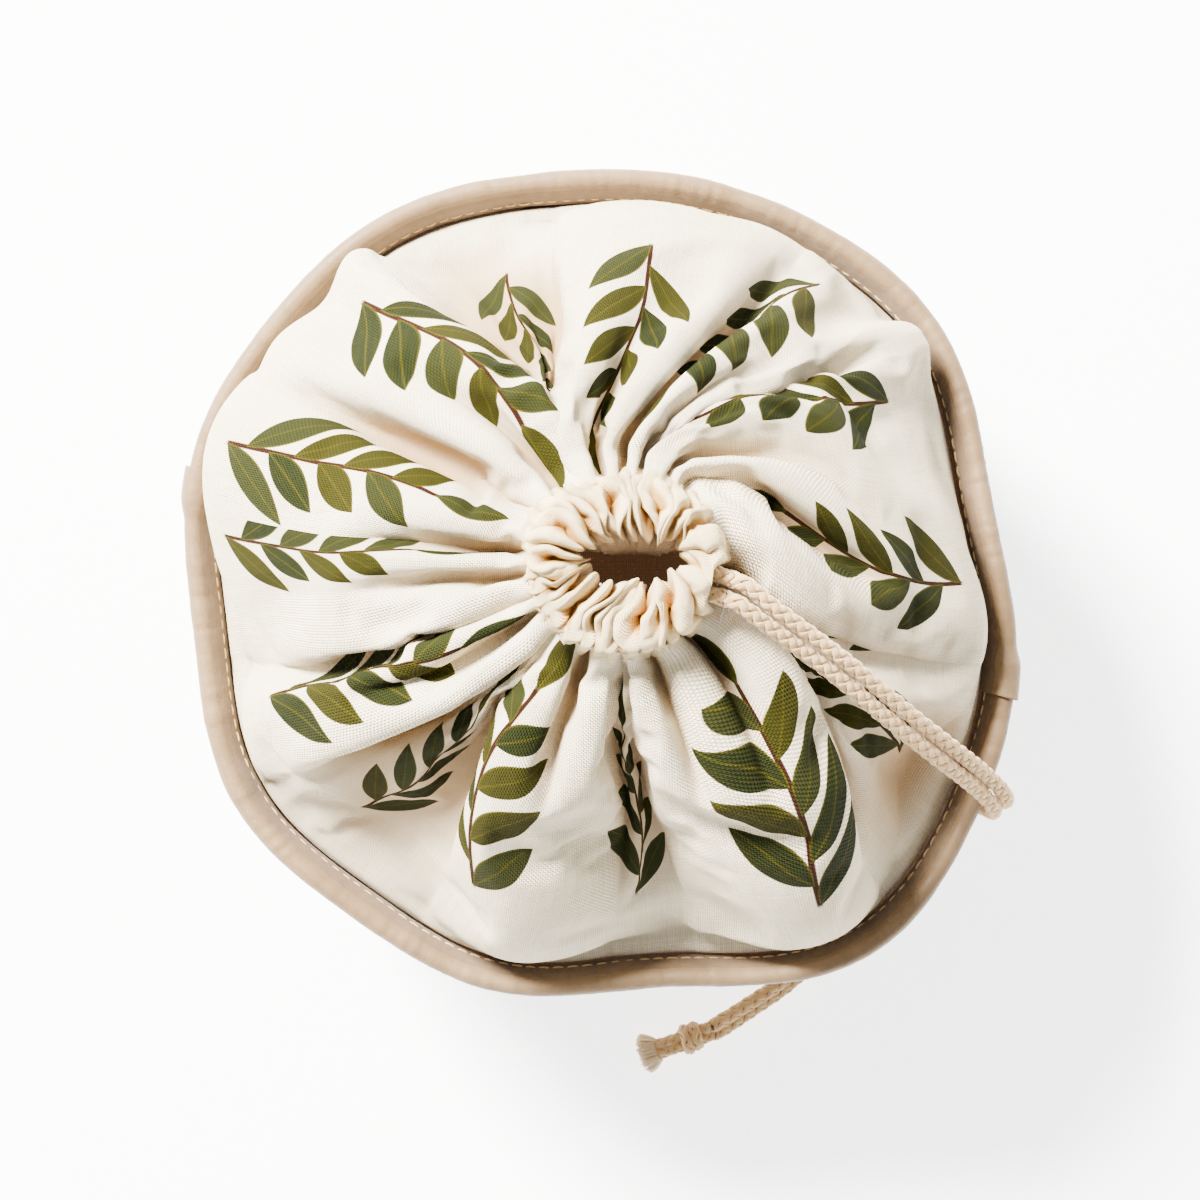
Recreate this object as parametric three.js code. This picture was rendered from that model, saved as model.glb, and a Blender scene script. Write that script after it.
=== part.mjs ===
// Bread bag: a round body with soft sides, a gathered linen top and a doubled drawstring.
// Millimetres, +Z up. The origin is the centre of the base, on the surface the bag stands on.
import * as THREE from 'three';

// Stiff lower body
const BASE_RADIUS = 112; // outer face of the wall at the table
const RIM_RADIUS = 125; // mean outer radius of the bound rim
const RIM_HEIGHT = 112;
const WALL_BULGE = 2.5; // how far the wall swells between base and rim
const BASE_CLOTH = 1.4;
const WALL = 1.4;
const FLANGE = 10; // seam allowance of the wall, turned in under the insert
const INSERT = 2; // stiffening board between base and lining
const LINING = 0.6;
const CLEARANCE = 0.3; // between pieces that touch or are sewn together

// Bound rim: the tape folds over the edges of wall, lining and linen
const BINDING = 1.2;
const BINDING_DEPTH = 9;
const SEAM_ANGLE = -11.7; // side seam on the right; the other is opposite
const SEAM_GAP = 0.3;

// A soft rim bows in and out and rises and dips a little.
// Each wave: how many go round the bag, its share of the reach, and the angle of a crest.
const RIM_BOW = 3.2;
const RIM_WAVES = [
  [1, 0.5, 300],
  [2, 0.84, 132],
  [3, 0.63, 72],
  [4, 1, 47],
  [5, 0.28, 32],
  [7, 0.31, 50],
  [8, 0.44, 32],
];
const RIM_LIFT = 1.6;
const RIM_LIFTS = [
  [2, 1, 20],
  [3, 0.75, 100],
  [5, 0.38, 10],
];

// Linen top, puffed out between the rim and the neck
const LINEN = 0.8;
const MOUTH_OFFSET = [4, 4.5]; // the gathered mouth sits a little off centre
const NECK_RADIUS = 33;
const NECK_HEIGHT = 181.5;
const NECK_TURN_IN = 6; // linen that runs in under the casing
const SHOULDER_RISE = 35; // how steeply the linen rises from the rim
const SHOULDER_IN = 3;
const CROWN_SPREAD = 37; // how far out the crown stays nearly level
const CROWN_DROP = 0.5;

// Folds of the linen. Each crease: its angle at the rim, halfway up and at the neck, its share of the fold
// depth at those heights, and the share of it by which the lobe after it stays down.
const FOLD_DEPTH = 15;
const FOLDS = [
  { at: [-168, -165, -163], deep: [0, 0.75, 0.6], down: 0.06 },
  { at: [-149, -146, -138.5], deep: [0.1, 1, 0.65], down: 0.62 },
  { at: [-118, -119.5, -127], deep: [0.1, 1, 0.7], down: 0.06 },
  { at: [-82.5, -82.5, -85.5], deep: [0, 0.72, 0.6], down: 0.06 },
  { at: [-48, -41, -25], deep: [0.1, 0.95, 0.7], down: 0.54 },
  { at: [-11.7, -14.3, 0], deep: [0, 0.3, 0.4], down: 0.04 },
  { at: [0, 0, 48], deep: [0, 0.4, 0.8], down: 0.04 },
  { at: [36, 40, 66], deep: [0.1, 0.85, 0.55], down: 0.15 },
  { at: [58, 60.5, 83], deep: [0, 0.85, 0.6], down: 0.04 },
  { at: [97, 99.8, 110.5], deep: [0.1, 1, 0.5], down: 0.72 },
  { at: [124, 122.5, 114.5], deep: [0, 0.85, 0.5], down: 0.04 },
  { at: [148, 149.5, 150], deep: [0, 0.85, 0.75], down: 0.06 },
];
const FOLD_EDGE = 0.14; // every layer has points this share of a lobe's width beside its creases

// Where the linen hangs out over the rim or, with a minus, sinks in behind it.
// Each place: its angle, half its width, and its share of the reach.
const RIM_HANG = 9.5;
const RIM_HANGS = [
  [158, 19, 1],
  [127, 6, 0.9],
  [112, 11, -0.9],
  [37, 5.5, 0.9],
  [21, 9, -0.5],
  [47, 6, -0.4],
  [-31, 12, -1],
  [-60, 14, 0.3],
  [-101, 12, 0.3],
  [-133, 12, -0.9],
  [-160, 9, 0.3],
];

// Casing, the gathered hem that holds the drawstring
const CASING_OUTER = 33;
const CASING_INNER = 11;
const CASING_HEIGHT = 14;
const CASING_OPEN_FROM = -30; // the cord's way out, in degrees about the mouth
const CASING_OPEN_TO = 14;

// Drawstring, one cord: a loop in the casing, two strands side by side, a knot and two short ends
const CORD = 5;
const CORD_SPACING = 5.6; // between the middles of the two strands
const CORD_ROOM = 0.7; // between the loop and the tunnel in the casing
const PULL_ANGLE = -20; // direction in which the strands leave the casing
const EXIT_OFFSET = 4.5; // the strands' middle line passes this far beside the mouth's centre
const EXIT_BEND = 8.5;
const EXIT_INSET = 1.6; // the loop's ends meet the strands this far inside the casing
const STRAND_LEAD = 3; // straight start of a strand
const KNOT = [14.5, 11.5, 11];
const KNOT_ANGLE = 200;
const KNOT_CENTRE = [28.9, -146, 5.7];
const KNOT_GAP = 0.6; // to the ends of the strands
const END_LENGTH = 9;
const END_FLARE = 3.1; // radius of the frayed tip
const TABLE_GAP = 0.1; // the cord lies this far above the table

// Route of each strand from the casing to the knot
const STRAND_A_ROUTE = [
  [42.4, -2.7, 188.1],
  [47.2, -6.8, 185.8],
  [53.4, -11.1, 182],
  [60, -15.4, 177.8],
  [66.4, -19.8, 173.9],
  [73, -24.6, 169],
  [80, -30.3, 163.2],
  [86.9, -36.3, 156.6],
  [94.1, -41.9, 149.2],
  [101.2, -47.2, 140.8],
  [107.6, -51.9, 131.4],
  [112.8, -56, 122.4],
  [117, -59.6, 115.8],
  [119.6, -62.6, 110],
  [120.6, -64.2, 103],
  [120.4, -65.2, 91],
  [119.8, -66.8, 75],
  [118.8, -68.6, 58],
  [118.1, -69.8, 40],
  [117.5, -70.8, 24],
  [116.1, -72.3, 9.9],
  [112.7, -76.4, 5],
  [107.8, -81.9, 2.8],
  [96, -94.7, 2.8],
  [84, -107.6, 2.8],
  [72.5, -119.7, 2.8],
  [61.2, -130.6, 2.9],
  [49, -139, 3.2],
  [42.8, -142.8, 4.4],
];
const STRAND_B_ROUTE = [
  [40.4, -8, 187.7],
  [44.4, -11, 185.2],
  [50, -15, 181.4],
  [56, -19.8, 176.8],
  [62.4, -24.7, 172.4],
  [69.2, -30.2, 167.4],
  [76.3, -35.9, 161.9],
  [83.4, -41.2, 155.8],
  [90.6, -46.6, 148.9],
  [97.4, -51.6, 141.4],
  [103.8, -56.2, 132.2],
  [108.8, -60, 123.6],
  [112.8, -63.4, 116.6],
  [115.4, -66.6, 110.4],
  [116, -68.2, 103],
  [115.2, -67.8, 91],
  [114.2, -67.6, 75],
  [113.4, -67.6, 58],
  [112.9, -67.7, 40],
  [112.7, -68, 24],
  [111.4, -69.4, 9.9],
  [108.3, -73, 5],
  [103.8, -78.1, 2.8],
  [92, -90.9, 2.8],
  [80, -103.8, 2.8],
  [68.5, -115.7, 2.8],
  [57.6, -126.2, 2.9],
  [46.2, -134, 3.2],
  [40.6, -137.6, 4.4],
];

// How finely the round shapes are divided
const ROUND_STEP = 7; // greatest angle between points of the wall's layers
const CASING_STEPS = 18;
const DISC_STEPS = 60;
const WALL_POINTS = 3;
const DOME_POINTS = 7;
const ROLL_POINTS = 4;
const CASING_POINTS = 10;
const TUNNEL_POINTS = 8;
const CORD_SIDES = 8;
const STRAND_STEPS = 38;
const LOOP_STEPS = 34;
const KNOT_SEGMENTS = 14;

// Heights and offsets that follow from the sizes above
const FLANGE_BOTTOM = BASE_CLOTH + CLEARANCE;
const INSERT_BOTTOM = FLANGE_BOTTOM;
const LINING_BOTTOM = Math.max(INSERT_BOTTOM + INSERT, FLANGE_BOTTOM + WALL) + CLEARANCE;
const WALL_OFFSET = BINDING + CLEARANCE; // measured inward from the rim's outer face
const LINING_OFFSET = WALL_OFFSET + WALL + CLEARANCE;
const HEM_OFFSET = LINING_OFFSET + LINING + CLEARANCE;
const INNER_LEG_OFFSET = HEM_OFFSET + LINEN + CLEARANCE;
const DOME_OFFSET = INNER_LEG_OFFSET + BINDING + CLEARANCE;
const ROLL_RADIUS = INNER_LEG_OFFSET / 2; // middle of the tape's thickness
const ROLL_HEIGHT = RIM_HEIGHT - BINDING / 2 - ROLL_RADIUS;
const TAPE_BOTTOM = RIM_HEIGHT - BINDING_DEPTH;
const CASING_BOTTOM = NECK_HEIGHT + LINEN / 2 + CLEARANCE;
const LOOP_RADIUS = (CASING_OUTER + CASING_INNER) / 2;
const LOOP_HEIGHT = CASING_BOTTOM + CASING_HEIGHT / 2;
const EXIT_REACH = CASING_OUTER - EXIT_INSET;
const CORD_RADIUS = CORD / 2;

const radians = THREE.MathUtils.degToRad;
const smoothstep = THREE.MathUtils.smoothstep;

const material = (color, roughness) => new THREE.MeshStandardMaterial({ color, roughness, metalness: 0 });
const tape = material('#cdb9a0', 0.62);
const canvas = material('#c9b79d', 0.8);
const liningCloth = material('#d9cdb9', 0.9);
const board = material('#b7a68b', 0.85);
const linen = material('#efeae0', 0.92);
const casingCloth = material('#f8ebd5', 0.92);
const cotton = material('#e8d3bc', 0.95);

function waves(list, angle) {
  const heights = list.map(([count, reach, crest]) => reach * Math.cos(count * (angle - radians(crest))));
  return heights.reduce((sum, height) => sum + height, 0);
}

// Mean outer radius of the bag at a height
function bodyRadius(z) {
  const share = Math.min(z / RIM_HEIGHT, 1);
  return BASE_RADIUS + (RIM_RADIUS - BASE_RADIUS) * share + WALL_BULGE * Math.sin(Math.PI * share);
}

// A point of the bag, bowed with the rim and, above it, drawn towards the mouth.
// turn is how far a fold carries the point round from its place at the rim.
function place([r, z, turn = 0], rimAngle) {
  const angle = rimAngle + turn;
  const domeEdge = RIM_RADIUS - DOME_OFFSET;
  const overRim = z > RIM_HEIGHT ? smoothstep(r, NECK_RADIUS, domeEdge) : 1;
  const soft = smoothstep(z, 0, RIM_HEIGHT) * overRim;
  const reach = r + RIM_BOW * waves(RIM_WAVES, angle) * soft;
  return new THREE.Vector3(
    reach * Math.cos(angle) + MOUTH_OFFSET[0] * (1 - overRim),
    reach * Math.sin(angle) + MOUTH_OFFSET[1] * (1 - overRim),
    z + RIM_LIFT * waves(RIM_LIFTS, angle) * soft,
  );
}

// Outline of a strip of cloth whose middle follows the points [r, z, turn]
function band(middle, thickness) {
  const points = middle.map(([r, z]) => new THREE.Vector2(r, z));
  const sides = points.map((point, i) => {
    const before = points[Math.max(i - 1, 0)];
    const after = points[Math.min(i + 1, points.length - 1)];
    const into = point.equals(before) ? after.clone().sub(point) : point.clone().sub(before);
    const out = point.equals(after) ? into.clone() : after.clone().sub(point);
    const normal = (v) => new THREE.Vector2(-v.y, v.x).normalize();
    const mitre = normal(into).add(normal(out)).normalize();
    return mitre.multiplyScalar(thickness / 2 / mitre.dot(normal(into)));
  });
  const face = (side) => points.map((point, i) => {
    const { x, y } = point.clone().addScaledVector(sides[i], side);
    return [x, y, middle[i][2] ?? 0];
  });
  return [...face(1), ...face(-1).reverse()];
}

// Triangles that close the end of a section. A strip of cloth is closed from edge to edge, point by point.
function capFaces({ outline, hole }) {
  if (!hole) {
    const last = outline.length - 1;
    return Array.from({ length: (last - 1) / 2 }, (_, i) => [
      [i, i + 1, last - 1 - i],
      [i, last - 1 - i, last - i],
    ]).flat();
  }
  const toVectors = (points) => points.map(([x, y]) => new THREE.Vector2(x, y));
  return THREE.ShapeUtils.triangulateShape(toVectors(outline), [toVectors(hole)]);
}

function evenly(from, to, steps) {
  return Array.from({ length: steps + 1 }, (_, i) => from + ((to - from) * i) / steps);
}

// A closed solid whose section is carried round through the given angles in degrees.
// The section holds an outline and, where the piece is hollow, a hole.
function sweep(sectionAt, degrees) {
  const positions = [];
  const indices = [];
  const angles = degrees.map(radians);
  const steps = angles.length - 1;
  const first = sectionAt(angles[0]);
  const loops = [first.outline.length, (first.hole ?? []).length];
  const count = loops[0] + loops[1];
  for (const angle of angles) {
    const { outline, hole = [] } = sectionAt(angle);
    for (const point of [...outline, ...hole]) positions.push(...place(point, angle).toArray());
  }
  for (let i = 0; i < steps; i++) {
    let start = 0;
    for (const length of loops) {
      for (let k = 0; k < length; k++) {
        const a = i * count + start + k;
        const b = i * count + start + ((k + 1) % length);
        // the same diagonal on both sides of a gap: it climbs the way the sweep goes
        const climbs = positions[3 * a + 2] < positions[3 * b + 2];
        const faces = climbs
          ? [a, a + count, b + count, a, b + count, b]
          : [a, a + count, b, b, a + count, b + count];
        indices.push(...faces);
      }
      start += length;
    }
  }
  for (const [index, flip] of [[0, false], [steps, true]]) {
    const faces = capFaces(sectionAt(angles[index]));
    for (const [a, b, c] of faces) {
      const corner = [a, b, c].map((k) => k + index * count);
      indices.push(...(flip ? corner.reverse() : corner));
    }
  }
  const geometry = new THREE.BufferGeometry();
  geometry.setAttribute('position', new THREE.Float32BufferAttribute(positions, 3));
  geometry.setIndex(indices);
  geometry.computeVertexNormals();
  return geometry;
}

// Outlines run anticlockwise in (r, z), which turns the swept faces outward
function anticlockwise(outline) {
  const points = outline.map(([x, y]) => new THREE.Vector2(x, y));
  return THREE.ShapeUtils.area(points) < 0 ? [...outline].reverse() : outline;
}

function clothSection(middle, thickness) {
  return { outline: anticlockwise(band(middle, thickness)) };
}

// Heights at which every layer of the wall has its points, so that the layers stay parallel
const wallLevels = [
  ...Array.from({ length: WALL_POINTS }, (_, i) => (TAPE_BOTTOM * (i + 1)) / (WALL_POINTS + 1)),
  TAPE_BOTTOM,
];

// Up the wall between two heights, at an offset inward from the outer face
function upTheWall(offset, from, to) {
  const levels = wallLevels.filter((z) => z > from && z < to);
  return [from, ...levels, to].map((z) => [bodyRadius(z) - offset, z]);
}

// The wall's lower edge turns in and lies on the base
function wallSection() {
  const offset = WALL_OFFSET + WALL / 2;
  const z = FLANGE_BOTTOM + WALL / 2;
  const flangeInner = BASE_RADIUS - FLANGE;
  return clothSection([[flangeInner, z], ...upTheWall(offset, z, ROLL_HEIGHT)], WALL);
}

function liningSection() {
  const offset = LINING_OFFSET + LINING / 2;
  return clothSection(upTheWall(offset, LINING_BOTTOM, ROLL_HEIGHT), LINING);
}

// The tape goes up the outside, over the edges and down the inside
function bindingSection() {
  const outer = BINDING / 2;
  const inner = INNER_LEG_OFFSET + BINDING / 2;
  const centre = (outer + inner) / 2;
  const roll = Array.from({ length: ROLL_POINTS + 1 }, (_, i) => {
    const turn = (Math.PI * i) / ROLL_POINTS;
    const z = ROLL_HEIGHT + ROLL_RADIUS * Math.sin(turn);
    return [bodyRadius(ROLL_HEIGHT) - centre + ROLL_RADIUS * Math.cos(turn), z];
  });
  const leg = (offset) => [bodyRadius(TAPE_BOTTOM) - offset, TAPE_BOTTOM];
  return clothSection([leg(outer), ...roll, leg(inner)], BINDING);
}

// Middle of the linen between rim and neck, along the crests of its folds
const domeCurve = new THREE.CubicBezierCurve(
  new THREE.Vector2(RIM_RADIUS - DOME_OFFSET - LINEN / 2, RIM_HEIGHT),
  new THREE.Vector2(RIM_RADIUS - DOME_OFFSET - LINEN / 2 - SHOULDER_IN, RIM_HEIGHT + SHOULDER_RISE),
  new THREE.Vector2(NECK_RADIUS + CROWN_SPREAD, NECK_HEIGHT - CROWN_DROP),
  new THREE.Vector2(NECK_RADIUS, NECK_HEIGHT),
);

// A value given at the rim, halfway up and at the neck
function atShare([rim, half, neck], share) {
  return share < 0.5 ? rim + (half - rim) * share * 2 : half + (neck - half) * (share * 2 - 1);
}

const turnWidth = (degrees) => THREE.MathUtils.euclideanModulo(degrees, 360);

// Creases on both sides of a rim angle, and how far it lies between them, from 0 to 1
function lobeAt(degrees) {
  const widths = FOLDS.map(({ at }, i) => turnWidth(FOLDS[(i + 1) % FOLDS.length].at[0] - at[0]));
  const index = FOLDS.findIndex(({ at }, i) => turnWidth(degrees - at[0]) < widths[i]);
  const before = FOLDS[index];
  const after = FOLDS[(index + 1) % FOLDS.length];
  return { before, after, width: widths[index], x: turnWidth(degrees - before.at[0]) / widths[index] };
}

function rimHang(degrees, share) {
  const reach = RIM_HANGS.reduce((sum, [centre, half, part]) => {
    const off = turnWidth(degrees - centre + 180) - 180;
    return sum + part * Math.exp(-1.2 * (off / half) ** 2);
  }, 0);
  return RIM_HANG * reach * smoothstep(share, 0, 0.1) * (1 - smoothstep(share, 0.14, 0.55));
}

// How far the cloth lies in from the crests, and how far the fold has carried it round
function foldAt(angle, share) {
  const degrees = THREE.MathUtils.radToDeg(angle);
  const { before, after, x } = lobeAt(degrees);
  const dip = Math.abs(2 * x - 1) ** 3;
  const edge = atShare((x < 0.5 ? before : after).deep, share);
  const down = before.down * atShare([0, 1, 0.3], share);
  const inward = FOLD_DEPTH * (edge * dip + down * (1 - dip)) - rimHang(degrees, share);
  const carried = (crease) => turnWidth(atShare(crease.at, share) - crease.at[0] + 180) - 180;
  const turn = carried(before) + (carried(after) - carried(before)) * x;
  return { inward, turn: radians(turn) };
}

function domePoints(angle) {
  return Array.from({ length: DOME_POINTS + 1 }, (_, i) => {
    const share = i / DOME_POINTS;
    const point = domeCurve.getPoint(share);
    const along = domeCurve.getTangent(share);
    const { inward, turn } = foldAt(angle, share);
    return [point.x - along.y * inward, point.y + along.x * inward, turn];
  });
}

// Angles of the points of all layers between two seams: at the linen's creases and between them
function layerAngles(from, to) {
  const all = FOLDS.flatMap(({ at: [rim] }) => {
    const { width } = lobeAt(rim);
    const between = Math.ceil((width * (1 - 2 * FOLD_EDGE)) / ROUND_STEP);
    const shares = [0, ...evenly(FOLD_EDGE, 1 - FOLD_EDGE, between)];
    return shares.map((x) => from + turnWidth(rim + width * x - from));
  });
  const inside = all.filter((degrees) => degrees > from + 1 && degrees < to - 1);
  return [from, ...inside.sort((a, b) => a - b), to];
}

// The linen's hem lies in the bound edge; it turns under the tape's inner leg and rises
function topSection(angle) {
  const hem = HEM_OFFSET + LINEN / 2;
  const rising = DOME_OFFSET + LINEN / 2;
  const centre = (hem + rising) / 2;
  const turnRadius = (rising - hem) / 2;
  const dome = domePoints(angle);
  const [neckR, neckZ, neckTurn] = dome[DOME_POINTS];
  const middle = [
    [bodyRadius(ROLL_HEIGHT) - hem, ROLL_HEIGHT],
    [bodyRadius(TAPE_BOTTOM) - hem, TAPE_BOTTOM],
    [bodyRadius(TAPE_BOTTOM) - centre, TAPE_BOTTOM - turnRadius],
    [bodyRadius(TAPE_BOTTOM) - rising, TAPE_BOTTOM],
    ...dome,
    [neckR - NECK_TURN_IN, neckZ, neckTurn],
  ];
  return clothSection(middle, LINEN);
}

function oval(radiusR, radiusZ, count) {
  return Array.from({ length: count }, (_, i) => {
    const turn = (2 * Math.PI * i) / count - Math.PI / 2;
    return [LOOP_RADIUS + radiusR * Math.cos(turn), LOOP_HEIGHT + radiusZ * Math.sin(turn)];
  });
}

function casingSection() {
  const tunnel = (CORD_RADIUS + CORD_ROOM) / Math.cos(Math.PI / TUNNEL_POINTS);
  return {
    outline: oval((CASING_OUTER - CASING_INNER) / 2, CASING_HEIGHT / 2, CASING_POINTS),
    hole: oval(tunnel, tunnel, TUNNEL_POINTS).reverse(),
  };
}

function disc(radius, bottom, thickness) {
  const profile = [
    new THREE.Vector2(0, bottom),
    new THREE.Vector2(radius, bottom),
    new THREE.Vector2(radius, bottom + thickness),
    new THREE.Vector2(0, bottom + thickness),
  ];
  return new THREE.LatheGeometry(profile, DISC_STEPS).rotateX(Math.PI / 2);
}

// A round cord along a route, with eight sides
function cordGeometry(points, steps) {
  const route = new THREE.CatmullRomCurve3(points, false, 'centripetal');
  const circle = new THREE.Shape(
    Array.from({ length: CORD_SIDES }, (_, i) => {
      const turn = (2 * Math.PI * i) / CORD_SIDES;
      return new THREE.Vector2(CORD_RADIUS * Math.cos(turn), CORD_RADIUS * Math.sin(turn));
    }),
  );
  return new THREE.ExtrudeGeometry(circle, { steps, extrudePath: route, bevelEnabled: false });
}

// A point given along and beside the pull direction, from the mouth's centre
function besideMouth(along, beside) {
  const a = radians(PULL_ANGLE);
  return new THREE.Vector3(
    MOUTH_OFFSET[0] + along * Math.cos(a) - beside * Math.sin(a),
    MOUTH_OFFSET[1] + along * Math.sin(a) + beside * Math.cos(a),
    LOOP_HEIGHT,
  );
}

// Where one end of the loop leaves its circle and turns out to meet its strand.
// side is 1 for the end that comes round anticlockwise from the pull direction, and -1 for the other.
function loopEnd(side) {
  const offset = side * (EXIT_OFFSET + (side * CORD_SPACING) / 2);
  const turn = Math.acos((offset + EXIT_BEND) / (LOOP_RADIUS + EXIT_BEND));
  const bendStart = (LOOP_RADIUS + EXIT_BEND) * Math.sin(turn);
  const bend = [0, 0.25, 0.5, 0.75].map((share) => {
    const angle = turn * share;
    const along = bendStart - EXIT_BEND * Math.sin(angle);
    const beside = offset + EXIT_BEND * (1 - Math.cos(angle));
    return besideMouth(along, side * beside);
  });
  const points = [besideMouth(EXIT_REACH, side * offset), ...bend];
  return { points, leaves: side * (Math.PI / 2 - turn) };
}

function loopRoute() {
  const upper = loopEnd(1);
  const lower = loopEnd(-1);
  const arcCount = 24;
  const sweepAngle = 2 * Math.PI + lower.leaves - upper.leaves;
  const arc = Array.from({ length: arcCount + 1 }, (_, i) => {
    const angle = upper.leaves + (sweepAngle * i) / arcCount;
    return besideMouth(LOOP_RADIUS * Math.cos(angle), LOOP_RADIUS * Math.sin(angle));
  });
  return [...upper.points, ...arc, ...lower.points.reverse()];
}

// A strand starts at the loop's end, runs its route and goes into the knot
function strandRoute(side, route) {
  const beside = EXIT_OFFSET + (side * CORD_SPACING) / 2;
  const start = besideMouth(EXIT_REACH + CLEARANCE, beside);
  const lead = besideMouth(EXIT_REACH + CLEARANCE + STRAND_LEAD, beside);
  const knotFace = knotPoint(-KNOT[0] / 2 - KNOT_GAP, (side * CORD_SPACING) / 2);
  return [start, lead, ...route.map((point) => new THREE.Vector3(...point)), knotFace];
}

// A point given along and beside the cord's direction through the knot
function knotPoint(along, beside) {
  const a = radians(KNOT_ANGLE);
  return new THREE.Vector3(
    KNOT_CENTRE[0] + along * Math.cos(a) - beside * Math.sin(a),
    KNOT_CENTRE[1] + along * Math.sin(a) + beside * Math.cos(a),
    KNOT_CENTRE[2],
  );
}

function knotGeometry() {
  const geometry = new THREE.SphereGeometry(1 / 2, KNOT_SEGMENTS, KNOT_SEGMENTS / 2 + 1);
  geometry.scale(...KNOT).rotateZ(radians(KNOT_ANGLE));
  return geometry.translate(...KNOT_CENTRE);
}

// A short end beyond the knot, flared where it is frayed, and drooping to the table
function endGeometry(side) {
  const profile = [
    new THREE.Vector2(0, 0),
    new THREE.Vector2(CORD_RADIUS, 0),
    new THREE.Vector2(CORD_RADIUS, END_LENGTH / 2),
    new THREE.Vector2(END_FLARE, END_LENGTH),
    new THREE.Vector2(0, END_LENGTH),
  ];
  const droop = Math.asin((KNOT_CENTRE[2] - END_FLARE - TABLE_GAP) / END_LENGTH);
  const geometry = new THREE.LatheGeometry(profile, CORD_SIDES);
  geometry.rotateZ(-Math.PI / 2).rotateY(droop).rotateZ(radians(KNOT_ANGLE));
  const start = knotPoint(KNOT[0] / 2 + CLEARANCE, (side * (END_FLARE * 2 + CLEARANCE)) / 2);
  return geometry.translate(start.x, start.y, start.z);
}

const bag = new THREE.Group();
const drawstring = new THREE.Group();

function add(group, name, geometry, finish) {
  const mesh = new THREE.Mesh(geometry, finish);
  mesh.name = name;
  group.add(mesh);
}

add(bag, 'outer_base', disc(BASE_RADIUS - 1, 0, BASE_CLOTH), canvas);
add(bag, 'base_insert', disc(BASE_RADIUS - FLANGE - CLEARANCE, INSERT_BOTTOM, INSERT), board);
const liningBaseRadius = bodyRadius(LINING_BOTTOM) - LINING_OFFSET - LINING - CLEARANCE;
add(bag, 'lining_base', disc(liningBaseRadius, LINING_BOTTOM, LINING), liningCloth);

const halves = [
  ['back', SEAM_ANGLE],
  ['front', SEAM_ANGLE + 180],
];
for (const [half, start] of halves) {
  const gap = THREE.MathUtils.radToDeg(SEAM_GAP / BASE_RADIUS) / 2;
  const from = start + gap;
  const to = start + 180 - gap;
  const round = layerAngles(from, to);
  add(bag, `wall_${half}`, sweep(wallSection, round), canvas);
  add(bag, `lining_${half}`, sweep(liningSection, round), liningCloth);
  add(bag, `binding_${half}`, sweep(bindingSection, round), tape);
  add(bag, `top_${half}`, sweep(topSection, round), linen);
}

const casingSeam = (CASING_OPEN_FROM + CASING_OPEN_TO) / 2 + 180;
const casingGap = THREE.MathUtils.radToDeg(SEAM_GAP / CASING_INNER) / 2;
const casings = [
  ['back', CASING_OPEN_TO, casingSeam - casingGap],
  ['front', casingSeam + casingGap, CASING_OPEN_FROM + 360],
];
for (const [half, from, to] of casings) {
  add(bag, `casing_${half}`, sweep(casingSection, evenly(from, to, CASING_STEPS)), casingCloth);
}
add(bag, 'drawstring_loop', cordGeometry(loopRoute(), LOOP_STEPS), cotton);

const strands = [
  ['a', 1, STRAND_A_ROUTE],
  ['b', -1, STRAND_B_ROUTE],
];
for (const [letter, side, route] of strands) {
  add(drawstring, `cord_strand_${letter}`, cordGeometry(strandRoute(side, route), STRAND_STEPS), cotton);
  add(drawstring, `cord_end_${letter}`, endGeometry(side), cotton);
}
add(drawstring, 'cord_knot', knotGeometry(), cotton);

const breadBag = new THREE.Group();
breadBag.add(bag, drawstring);

export default breadBag;
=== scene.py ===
import math

import bpy
import numpy as np
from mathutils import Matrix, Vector
from mathutils.bvhtree import BVHTree


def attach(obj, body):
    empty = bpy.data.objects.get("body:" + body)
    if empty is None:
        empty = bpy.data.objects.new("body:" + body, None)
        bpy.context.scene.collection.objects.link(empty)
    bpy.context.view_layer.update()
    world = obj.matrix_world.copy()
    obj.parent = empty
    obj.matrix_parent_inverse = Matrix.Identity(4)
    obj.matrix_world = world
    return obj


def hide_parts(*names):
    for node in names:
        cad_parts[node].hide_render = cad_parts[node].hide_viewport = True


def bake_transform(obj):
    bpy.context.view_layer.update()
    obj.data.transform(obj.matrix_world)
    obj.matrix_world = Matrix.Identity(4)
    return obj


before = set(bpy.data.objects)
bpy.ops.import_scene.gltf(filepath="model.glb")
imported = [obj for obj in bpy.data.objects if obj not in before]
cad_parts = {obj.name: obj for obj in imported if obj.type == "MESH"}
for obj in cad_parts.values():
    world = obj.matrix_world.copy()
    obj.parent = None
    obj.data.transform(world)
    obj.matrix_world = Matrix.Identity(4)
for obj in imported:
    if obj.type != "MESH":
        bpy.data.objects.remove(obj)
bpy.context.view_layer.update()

# All sizes are in millimetres and turn into metres where an object is made
MM = 0.001

# Stiff lower body
BASE_RADIUS = 112
RIM_RADIUS = 125
RIM_HEIGHT = 112
WALL_BULGE = 2.5
BASE_CLOTH = 1.4
WALL = 1.4
FLANGE = 10
INSERT = 2
LINING = 0.6
CLEARANCE = 0.3
BINDING = 1.2
BINDING_DEPTH = 9
SEAM_ANGLE = -11.7
RIM_WAVES = [
    (1, 1.6, 300), (2, 2.7, 132), (3, 2.0, 72), (4, 3.2, 47), (5, 0.9, 32), (7, 1.0, 50), (8, 1.4, 32),
]
RIM_LIFTS = [(2, 1.6, 20), (3, 1.2, 100), (5, 0.6, 10)]

# Linen top
LINEN = 0.8
MOUTH = (4, 4.5)
NECK_RADIUS = 33
NECK_HEIGHT = 181.5

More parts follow.
